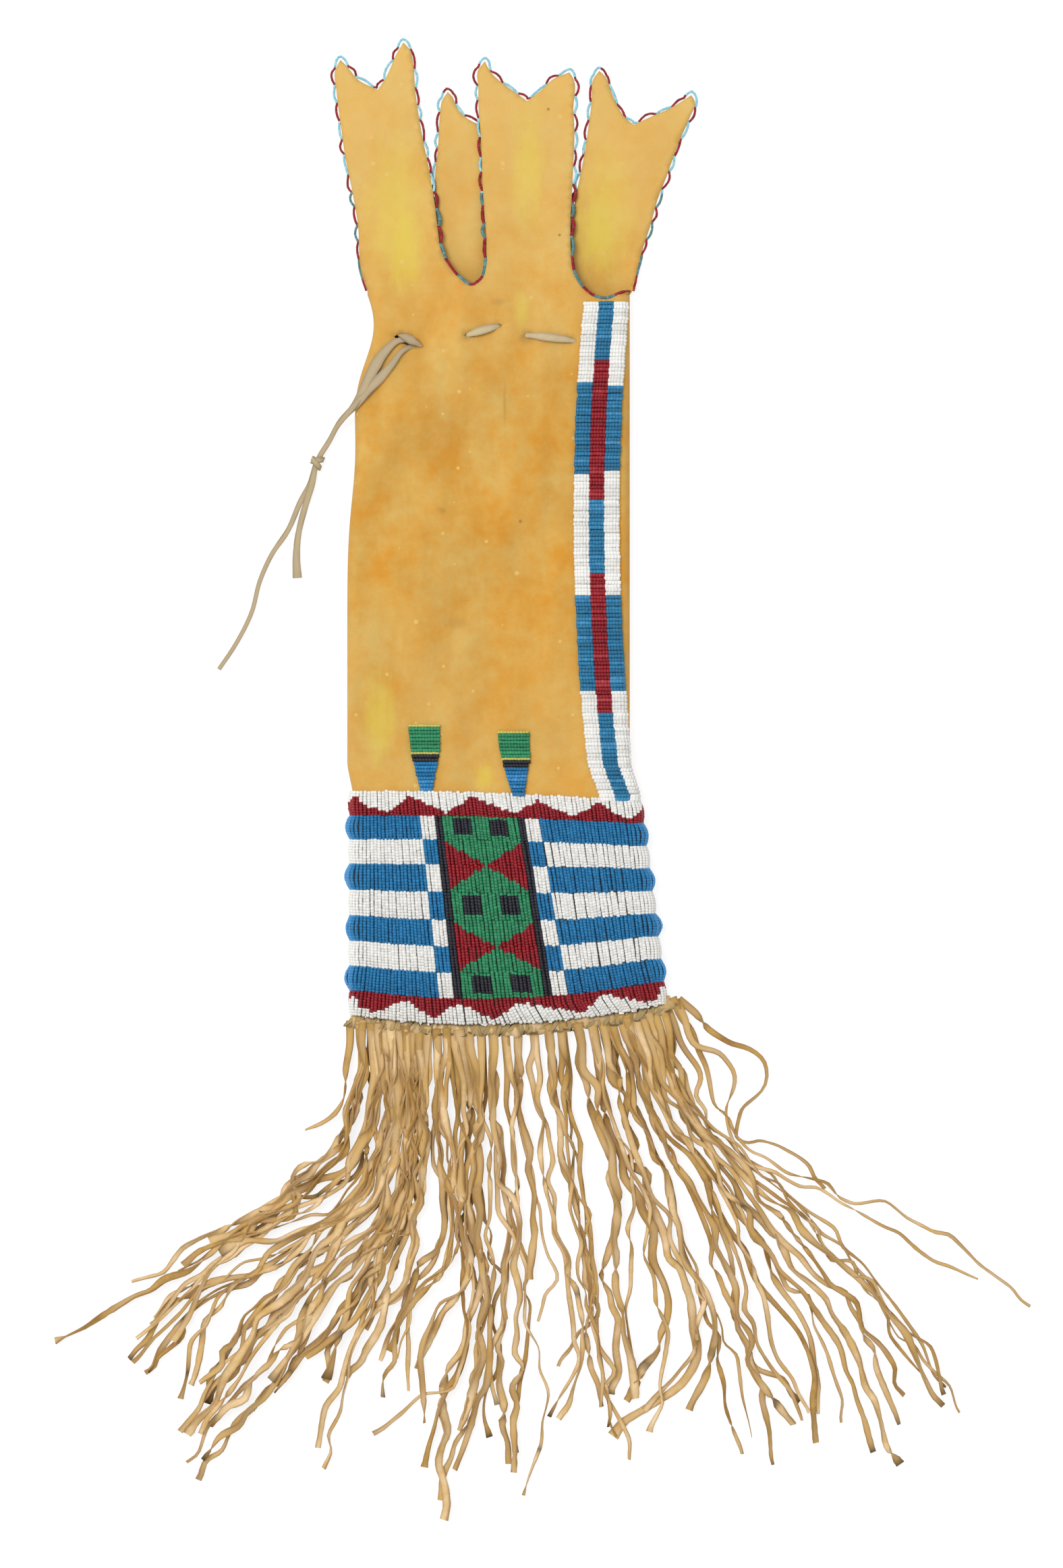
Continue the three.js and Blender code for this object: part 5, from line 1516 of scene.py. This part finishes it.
def all_routes(random):
    """The routes, with others between neighbours that start near one of the two and spread."""
    routes = []
    for route, following in zip(THONG_ROUTES, THONG_ROUTES[1:]):
        routes.append(route)
        between = DENSE_NEARNESS if route[0] < DENSE_TO else NEARNESS[:random.integers(1, 3)]
        if math.dist(route[-1], following[-1]) > WIDEST_GAP or route[0] > LAST_FILLED:
            continue
        for nearness in between:
            middle = [lerp(route[0], following[0], nearness)]
            reach = random.uniform(*FILL_REACH)
            goal = random.uniform(*FILL_GOAL)
            for i, (place, other) in enumerate(zip(route[1:], following[1:])):
                share = clamp(lerp(nearness, goal, min(0.3 * i, 1)) + 0.07 * i * random.uniform(-1, 1))
                middle.append(tuple(reach * lerp(np.array(place), np.array(other), share)))
            routes.append(tuple(middle))
    return routes + [THONG_ROUTES[-1]]


def kinked(line, random):
    """The line with the sharp small bends that dry thongs keep."""
    reach = reach_along(line)
    along = unit(np.gradient(line, axis=0))
    across = np.stack([-along[:, 1], along[:, 0]], axis=1)
    bends = np.cumsum(random.uniform(*KINK_STEP, KINKS)) + STRAIGHT_ROOT
    sway = np.interp(reach, [0, STRAIGHT_ROOT, *bends], [0, 0, *random.normal(0, SWAY, KINKS)])
    wave = np.sin(reach / random.uniform(*SWAY_LENGTH) + random.uniform(*WAVE_START))
    sway += SWAY * np.clip(reach / SWAY_FROM, 0, 1) * wave
    before, _, after = windows(sway, 1)
    sway = (before + 2 * sway + after) / 4
    return line + across * sway[:, None]


def twists(reach, random):
    """Turn of a thong about its own line, with places where it flips over."""
    most = random.uniform(*TWIST)
    turn = most * np.sin(reach / random.uniform(*TWIST_LENGTH) + random.uniform(*WAVE_START))
    turn = np.clip(reach / TWIST_FROM, 0, 1) * turn
    for _ in range(random.integers(*FLIPS)):
        place = random.uniform(18, max(reach[-1], 30))
        half_turn = random.choice((-1, 1)) * math.pi
        turn = turn + half_turn / (1 + np.exp(-(reach - place) / random.uniform(*FLIP_LENGTH)))
    return turn


def rest_on(heights, line, raise_by):
    """Heights at which a thong rests on what already lies under it, and adds itself there."""
    cells = [(round(x / PILE_CELL), round(y / PILE_CELL)) for x, y in line]
    around = [(i, j) for i in (-1, 0, 1) for j in (-1, 0, 1)]
    under = np.array([max(heights[(a + i, b + j)] for i, j in around) for a, b in cells])
    highest = windows(under, 3).max(axis=0)
    level = np.minimum(windows(highest, 4).mean(axis=0), PILE_LIMIT)
    for (a, b), low, thick in zip(cells, level, raise_by):
        for i, j in around:
            heights[(a + i, b + j)] = max(heights[(a + i, b + j)], low + thick)
    return level


def thong_girth(reach, fine, random):
    """Girth along a thong: uneven, thick at its root, and wider or narrower at its tip."""
    base = random.choice(GIRTHS, p=GIRTH_ODDS)
    if fine:
        base = GIRTHS[0]
    wave = np.sin(reach / random.uniform(*GIRTH_LENGTH) + random.uniform(*WAVE_START))
    girth = base * (1 + GIRTH_WAVE * wave)
    girth = girth * (1 + random.normal(0, GIRTH_NOISE, len(reach)))
    girth = np.maximum(girth, ROOT_GIRTH[0] - reach / ROOT_GIRTH[1])
    return girth + random.choice(TIP_GIRTHS) * np.exp((reach - reach[-1]) / random.uniform(5, 12))


def thong_shade(reach, tilt, end_x, random):
    """Shade along a thong: darker at its root, where it lies edge on, and on the right."""
    shade = random.normal(*THONG_SHADE) + 0.25 * np.cos(tilt) + 0.2 * np.sin(reach / random.uniform(4, 12))
    shade = shade - ROOT_SHADE[0] * np.exp(-reach / ROOT_SHADE[1]) - 0.15 * smoothstep(end_x, 60, 160)
    return np.clip(shade, 0, 1)


def thong_stain(reach, random):
    """Stain on the tips of some thongs, and a spot on others."""
    stain = np.zeros(len(reach))
    if random.random() < STAINED_TIPS:
        stain = np.clip(1 - (reach[-1] - reach) / random.uniform(3, 9), 0, 1) * random.uniform(0.6, 1)
    if random.random() < STAINED_SPOTS:
        stain = stain + 0.7 * np.exp(-((reach - random.uniform(0.3, 0.95) * reach[-1]) / 2.5) ** 2)
    return np.clip(stain, 0, 1)


def fringe_strands(settings, random):
    """Thongs laid down one after the other, each on those under it, some from over the heading."""
    heights = defaultdict(float)
    width, thickness = settings.width / MM, settings.thickness / MM
    routes = all_routes(random)
    strands = []
    for index in random.permutation(len(routes)):
        share, *places = routes[index]
        over = random.random() < OVER_ODDS
        root = heading_point(share) + (0, random.uniform(*OVER_BACK) * over, OVER_LIFT * over)
        given = [root[:2], *(root[:2] + np.array(place) for place in places)]
        line = kinked(even_run(smooth_run(given, THONG_STEP), THONG_POINTS), random)
        reach = reach_along(line)
        girth = thong_girth(reach, share > LAST_FILLED, random)
        tilt = twists(reach, random)
        half = half_height(girth, width, thickness, tilt)
        level = rest_on(heights, line, 2 * np.minimum(half, THICKEST) * PILE_SHARE)
        z = np.maximum(level + half + THONG_CLEAR, root[2] - reach / ROOT_FALLS[over])
        shade = thong_shade(reach, tilt, line[-1][0], random)
        points = np.column_stack([line, z])
        strands.append(flat_strand(points, girth, shade, tilt, thong_stain(reach, random)))
    return strands


def heading_roll():
    """Lumpy rolled strip along the foot."""
    core = np.array([heading_point(share) for share in np.linspace(*HEADING_SPAN, ROLL_POINTS)])
    core[:, 1] += [1.1 * ripple(x, 5.0, 9.0) + 0.8 * ripple(x, 2.0, 3.5) for x in core[:, 0]]
    lumps = [0.95 + 0.55 * ripple(x, 0.0, 4.5) + 0.35 * ripple(x, 7.0, 2.0) for x in core[:, 0]]
    shade = [0.6 + 1.3 * ripple(x, 9.0, 3.0) for x in core[:, 0]]
    return flat_strand(core, lumps, np.clip(shade, 0, 1))


def heading_stitches(random):
    """Thin thong whipped round the roll at uneven steps, and dark stitches along its lower side."""
    strands = []
    turn = np.linspace(0, 2 * math.pi, 14, endpoint=False)
    even = np.ones(len(turn))
    out = np.stack([0 * turn, WHIP_OVAL[0] * np.cos(turn), WHIP_OVAL[1] * np.sin(turn)], axis=1)
    share = HEADING_SPAN[0]
    while share < HEADING_SPAN[1]:
        whip = heading_point(share) + random.uniform(*WHIP_RADIUS) * out
        whip[:, 0] += random.uniform(*WHIP_LEAN) * np.cos(turn) + 0.6 * np.sin(2 * turn)
        girth = even * random.uniform(*WHIP_GIRTH)
        strands.append(Strand(whip, unit(out), girth, even * random.uniform(0.1, 1.0), 0 * even, True))
        length = random.uniform(*DASH_LENGTH)
        run = [(0, random.uniform(*DASH_START), DASH_TOP)]
        run += [(part * length, y, z) for part, y, z in DASH_RUN]
        dash = heading_point(share + DASH_LEAD) + np.array(run)
        dash[:, 1] += random.uniform(*DASH_RISE)
        if random.random() < DASH_ODDS:
            girth = random.uniform(0.3, 0.8)
            strands.append(flat_strand(smooth_run(dash, 1.0), girth, 0.0, tip=random.uniform(0.3, 0.7)))
        share += random.uniform(*WHIP_STEP)
    return strands


def make_fringe(settings, random):
    worn, sinew = settings.heading, settings.sinew
    thong_hide = thong_material("fringe_hide", settings.colour, settings.dark, settings.light)
    roll_hide = thong_material("heading_hide", worn, dimmed(worn, 0.55), settings.light, edge=0.1)
    stitch_sinew = thong_material("stitch_sinew", sinew, dimmed(sinew, 0.6), worn, edge=0.2)
    width, thickness = settings.width / MM, settings.thickness / MM
    thongs = thong_piece("fringe_thongs", fringe_strands(settings, random), width, thickness, thong_hide)
    roll = thong_piece("fringe_heading", [heading_roll()], *ROLL_SECTION, roll_hide, sides=8)
    stitches = thong_piece("fringe_stitches", heading_stitches(random), *SINEW_SECTION, stitch_sinew)
    settle(thongs, ["fringe"])
    settle(roll)
    settle(stitches)
    return [thongs, roll, stitches]


# Settings that a user would change

def colour_property(name, description, default):
    return FloatVectorProperty(
        name=name, description=description, default=default, size=3, subtype='COLOR', min=0, max=1)


def length_property(name, description, default):
    return FloatProperty(
        name=name, description=description, default=default, subtype='DISTANCE', unit='LENGTH', min=0)


def number_property(name, description, default, low=0):
    return FloatProperty(name=name, description=description, default=default, min=low)


class HideSettings(PropertyGroup):
    thickness: length_property("Thickness", "Thickness of the hide", 0.0012)
    colour: colour_property("Colour", "Smoked ochre of the hide", (0.665, 0.355, 0.066))
    ear_colour: colour_property("Ears", "Paler hide towards the ears' tips", (0.776, 0.509, 0.156))
    lemon: colour_property("Lemon", "Rubbed lemon-yellow patches", (0.74, 0.605, 0.085))
    # Darker spots: handled smudges, and painted shadow by the drawstring's slit and stitches
    smudge_and_shade: colour_property("Smudge and shade", "Handled darker spots, and painted shadow by the drawstring", (0.3, 0.17, 0.05))
    # Painted shade: the hide under the panel, dark where it shows in the gaps between the beads
    gap_shade: colour_property("Gap shade", "Painted shade of the hide between the panel's beads", (0.16, 0.14, 0.12))


class BeadSettings(PropertyGroup):
    width: length_property("Width", "Diameter of a seed bead", 0.00195)
    edge_width: length_property("Edging width", "Diameter of a bead on the ears' edges", 0.00135)
    crown: length_property("Crown", "How far a lane arches off the hide", 0.0012)
    seed: IntProperty(name="Seed", description="Seed for the small irregularities", default=7)
    white: colour_property("White", "White glass", (0.83, 0.82, 0.785))
    blue: colour_property("Blue", "Blue glass", (0.014, 0.165, 0.365))
    strip_blue: colour_property("Strip blue", "Greyer blue glass of the side strip", (0.022, 0.172, 0.325))
    red: colour_property("Red", "Dark red glass", (0.258, 0.008, 0.015))
    green: colour_property("Green", "Green glass", (0.028, 0.235, 0.105))
    navy: colour_property("Navy", "Navy glass", (0.016, 0.016, 0.025))
    yellow: colour_property("Yellow", "Greenish yellow glass on the tabs", (0.58, 0.56, 0.13))
    # Painted shade: a darker copy of the pale glass for beads low in the slits between the ears
    slate: colour_property("Slate", "Greyed blue glass low between the ears", (0.09, 0.22, 0.235))
    pale: colour_property("Pale blue", "Pale blue glass on the ears' edges", (0.28, 0.62, 0.74))


class LaceSettings(PropertyGroup):
    width: length_property("Width", "Width of the flat drawstring", 0.0036)
    thickness: length_property("Thickness", "Thickness of the drawstring", 0.0013)
    colour: colour_property("Colour", "Cream hide of the drawstring", (0.52, 0.395, 0.255))
    # Dark end of the drawstring's shade: handled stretches, and painted shade where the ends leave the slit
    dark: colour_property("Dark", "Handled stretches of the drawstring", (0.29, 0.22, 0.135))
    light: colour_property("Light", "Greenish cream where it shows in the neck", (0.66, 0.56, 0.31))


class FringeSettings(PropertyGroup):
    width: length_property("Width", "Width of a thong", 0.0042)
    thickness: length_property("Thickness", "Thickness of a thong", 0.001)
    seed: IntProperty(name="Seed", description="Seed for the thongs' bends and twists", default=11)
    colour: colour_property("Colour", "Tan hide of the thongs", (0.64, 0.4, 0.12))
    dark: colour_property("Dark", "Shade of the darkest thongs", (0.32, 0.165, 0.046))
    light: colour_property("Light", "Shade of the palest thongs", (0.94, 0.71, 0.44))
    sinew: colour_property("Sinew", "Olive sinew of the heading's stitches", (0.4, 0.3, 0.145))
    heading: colour_property("Heading", "Worn hide of the heading", (0.54, 0.35, 0.13))


class StageSettings(PropertyGroup):
    camera_height: length_property("Camera height", "Height of the camera over the bag", 1.984)
    lens: number_property("Lens", "Focal length in millimetres", 85.0, low=1)
    key_power: number_property("Key light", "Power of the soft light in watts", 38.0)
    sky: number_property("Sky", "Strength of the even light from all sides", 0.64)


# Stage

def seen_ray(tree):
    """1 for what the camera sees, straight or in a reflection, and 0 for what only lights the bag."""
    path = add_node(tree, 'ShaderNodeLightPath')
    seen = path.outputs["Is Camera Ray"]
    for name in ("Is Glossy Ray", "Is Transmission Ray"):
        seen = calc(tree, 'MAXIMUM', seen, path.outputs[name])
    return seen


def make_sky(strength):
    """Even light from all sides, white where it is seen."""
    world = bpy.data.worlds.new("sky")
    world.use_nodes = True
    tree = world.node_tree
    tree.nodes.clear()
    light, white = (add_node(tree, 'ShaderNodeBackground', {"Color": WHITE, "Strength": power}).outputs[0]
                    for power in (strength, 1.0))
    choice = add_node(tree, 'ShaderNodeMixShader', {0: seen_ray(tree), 1: light, 2: white})
    add_node(tree, 'ShaderNodeOutputWorld', {"Surface": choice.outputs[0]})
    return world


def floor_material():
    """White to the camera, with a faint shadow, and plain pale matt to everything else."""
    material = bpy.data.materials.new("pale_floor")
    material.use_nodes = True
    tree = material.node_tree
    tree.nodes.clear()
    seen = seen_ray(tree)
    matt = add_node(tree, 'ShaderNodeBsdfDiffuse', {"Color": (0.8, 0.8, 0.8, 1)})
    glow = add_node(tree, 'ShaderNodeEmission', {"Color": WHITE, "Strength": 0.82})
    shade = add_node(tree, 'ShaderNodeBsdfDiffuse', {"Color": (0.26, 0.26, 0.26, 1)})
    white = add_node(tree, 'ShaderNodeAddShader', {0: glow.outputs[0], 1: shade.outputs[0]})
    choice = add_node(tree, 'ShaderNodeMixShader', {0: seen, 1: matt.outputs[0], 2: white.outputs[0]})
    add_node(tree, 'ShaderNodeOutputMaterial', {"Surface": choice.outputs[0]})
    return material


def make_stage(settings):
    scene = bpy.context.scene
    camera = bpy.data.cameras.new("camera")
    camera.lens = settings.lens
    camera.sensor_fit = 'VERTICAL'
    camera.sensor_height = SENSOR_HEIGHT
    view = bpy.data.objects.new("camera", camera)
    view.location = (*CAMERA_PLACE, settings.camera_height)
    scene.collection.objects.link(view)
    scene.camera = view
    floor = bpy.data.meshes.new("floor")
    corners = [(x * FLOOR_HALF, y * FLOOR_HALF, FLOOR_Z) for x, y in ((-1, -1), (1, -1), (1, 1), (-1, 1))]
    floor.from_pydata(corners, [], [(0, 1, 2, 3)])
    floor.materials.append(floor_material())
    new_piece("floor", floor)
    key = bpy.data.lights.new("key", 'AREA')
    key.energy = settings.key_power
    key.size = KEY_SIZE
    lamp = bpy.data.objects.new("key", key)
    lamp.location = KEY_PLACE
    lamp.rotation_euler = Vector(lamp.location).to_track_quat('Z', 'Y').to_euler()
    scene.collection.objects.link(lamp)
    scene.world = make_sky(settings.sky)
    scene.view_settings.view_transform = 'Standard'


# Operators

class BAG_OT_stage(Operator):
    """Sets the camera, the light and the floor."""
    bl_idname = "bag.stage"
    bl_label = "Stage"

    def execute(self, context):
        make_stage(context.scene.bag_stage)
        return {'FINISHED'}


class BAG_OT_drawstring(Operator):
    """Makes the drawstring: its two free ends, their knot and the lacing."""
    bl_idname = "bag.drawstring"
    bl_label = "Drawstring"

    def execute(self, context):
        make_drawstring(context.scene.bag_lace)
        return {'FINISHED'}


class BAG_OT_hide(Operator):
    bl_idname = "bag.hide"
    bl_label = "Hide and fringe"

    def execute(self, context):
        hide = make_hide(context.scene.bag_hide)
        fringe = context.scene.bag_fringe
        pieces = make_fringe(fringe, np.random.default_rng(fringe.seed))
        return {'FINISHED'}


class BAG_OT_panel(Operator):
    """Sews the beads of the panel round the foot."""
    bl_idname = "bag.panel"
    bl_label = "Panel beads"

    def execute(self, context):
        settings = context.scene.bag_beads
        make_beads(settings, panel_beads(settings, np.random.default_rng(settings.seed)))
        return {'FINISHED'}


class BAG_OT_strip(Operator):
    """Sews the beads of the side strip."""
    bl_idname = "bag.strip"
    bl_label = "Strip beads"

    def execute(self, context):
        settings = context.scene.bag_beads
        make_beads(settings, strip_beads(settings, np.random.default_rng(settings.seed + 1)))
        return {'FINISHED'}


class BAG_OT_tabs(Operator):
    """Sews the two small tabs above the panel."""
    bl_idname = "bag.tabs"
    bl_label = "Tab beads"

    def execute(self, context):
        settings = context.scene.bag_beads
        groups = tab_beads(settings, np.random.default_rng(settings.seed + 2))
        for colour, slot, nodes in (("blue", "blue", ["tab_left", "tab_right"]), ("green", "green", []),
                                    ("yellow", "green", []), ("navy", "navy", [])):
            bead_piece(f"tab_{colour}_beads", groups[colour], bead_material(settings, colour), nodes)
        return {'FINISHED'}


class BAG_OT_edging(Operator):
    """Strings the beads along the ears' edges."""
    bl_idname = "bag.edging"
    bl_label = "Ear edging"

    def execute(self, context):
        settings = context.scene.bag_beads
        random = np.random.default_rng(settings.seed + 3)
        half_wall = context.scene.bag_hide.thickness / MM / 2
        for name, edge, height, inwards in (("front", FRONT_EDGE, front_height, -half_wall),
                                            ("back", BACK_EDGE, back_height, half_wall)):
            line = ear_line(edge)
            if name == "front":
                line = np.concatenate([[EDGING_START], line])
            groups = edging_beads(line, height, inwards, settings, random)
            for colour, nodes in (("red", [f"ear_edging_{name}"]), ("pale", []), ("slate", [])):
                material = bead_material(settings, colour)
                bead_piece(f"edging_{name}_{colour}_beads", groups[colour], material, nodes)
        return {'FINISHED'}


class BAG_PT_sidebar(Panel):
    """Lists the steps and settings of the bag."""
    bl_label = "Beaded pipe bag"
    bl_idname = "BAG_PT_sidebar"
    bl_space_type = 'VIEW_3D'
    bl_region_type = 'UI'
    bl_category = "Pipe bag"

    def draw(self, context):
        for step in STEPS:
            self.layout.operator(step.bl_idname)
        for name in SETTINGS:
            box = self.layout.box()
            group = getattr(context.scene, name)
            for key in group.bl_rna.properties.keys():
                if key not in ("rna_type", "name"):
                    box.prop(group, key)


STEPS = (BAG_OT_stage, BAG_OT_drawstring, BAG_OT_hide, BAG_OT_panel, BAG_OT_strip, BAG_OT_tabs, BAG_OT_edging)
SETTINGS = {"bag_stage": StageSettings, "bag_lace": LaceSettings, "bag_hide": HideSettings,
            "bag_fringe": FringeSettings, "bag_beads": BeadSettings}


def register():
    for group in SETTINGS.values():
        bpy.utils.register_class(group)
    for name, group in SETTINGS.items():
        setattr(bpy.types.Scene, name, PointerProperty(type=group))
    for step in (*STEPS, BAG_PT_sidebar):
        bpy.utils.register_class(step)


def unregister():
    for step in (BAG_PT_sidebar, *STEPS[::-1]):
        bpy.utils.unregister_class(step)
    for name, group in SETTINGS.items():
        delattr(bpy.types.Scene, name)
        bpy.utils.unregister_class(group)


def main():
    register()
    bpy.ops.bag.stage()
    bpy.ops.bag.drawstring()
    bpy.ops.bag.hide()
    bpy.ops.bag.panel()
    bpy.ops.bag.strip()
    bpy.ops.bag.tabs()
    bpy.ops.bag.edging()


if __name__ == "__main__":
    main()
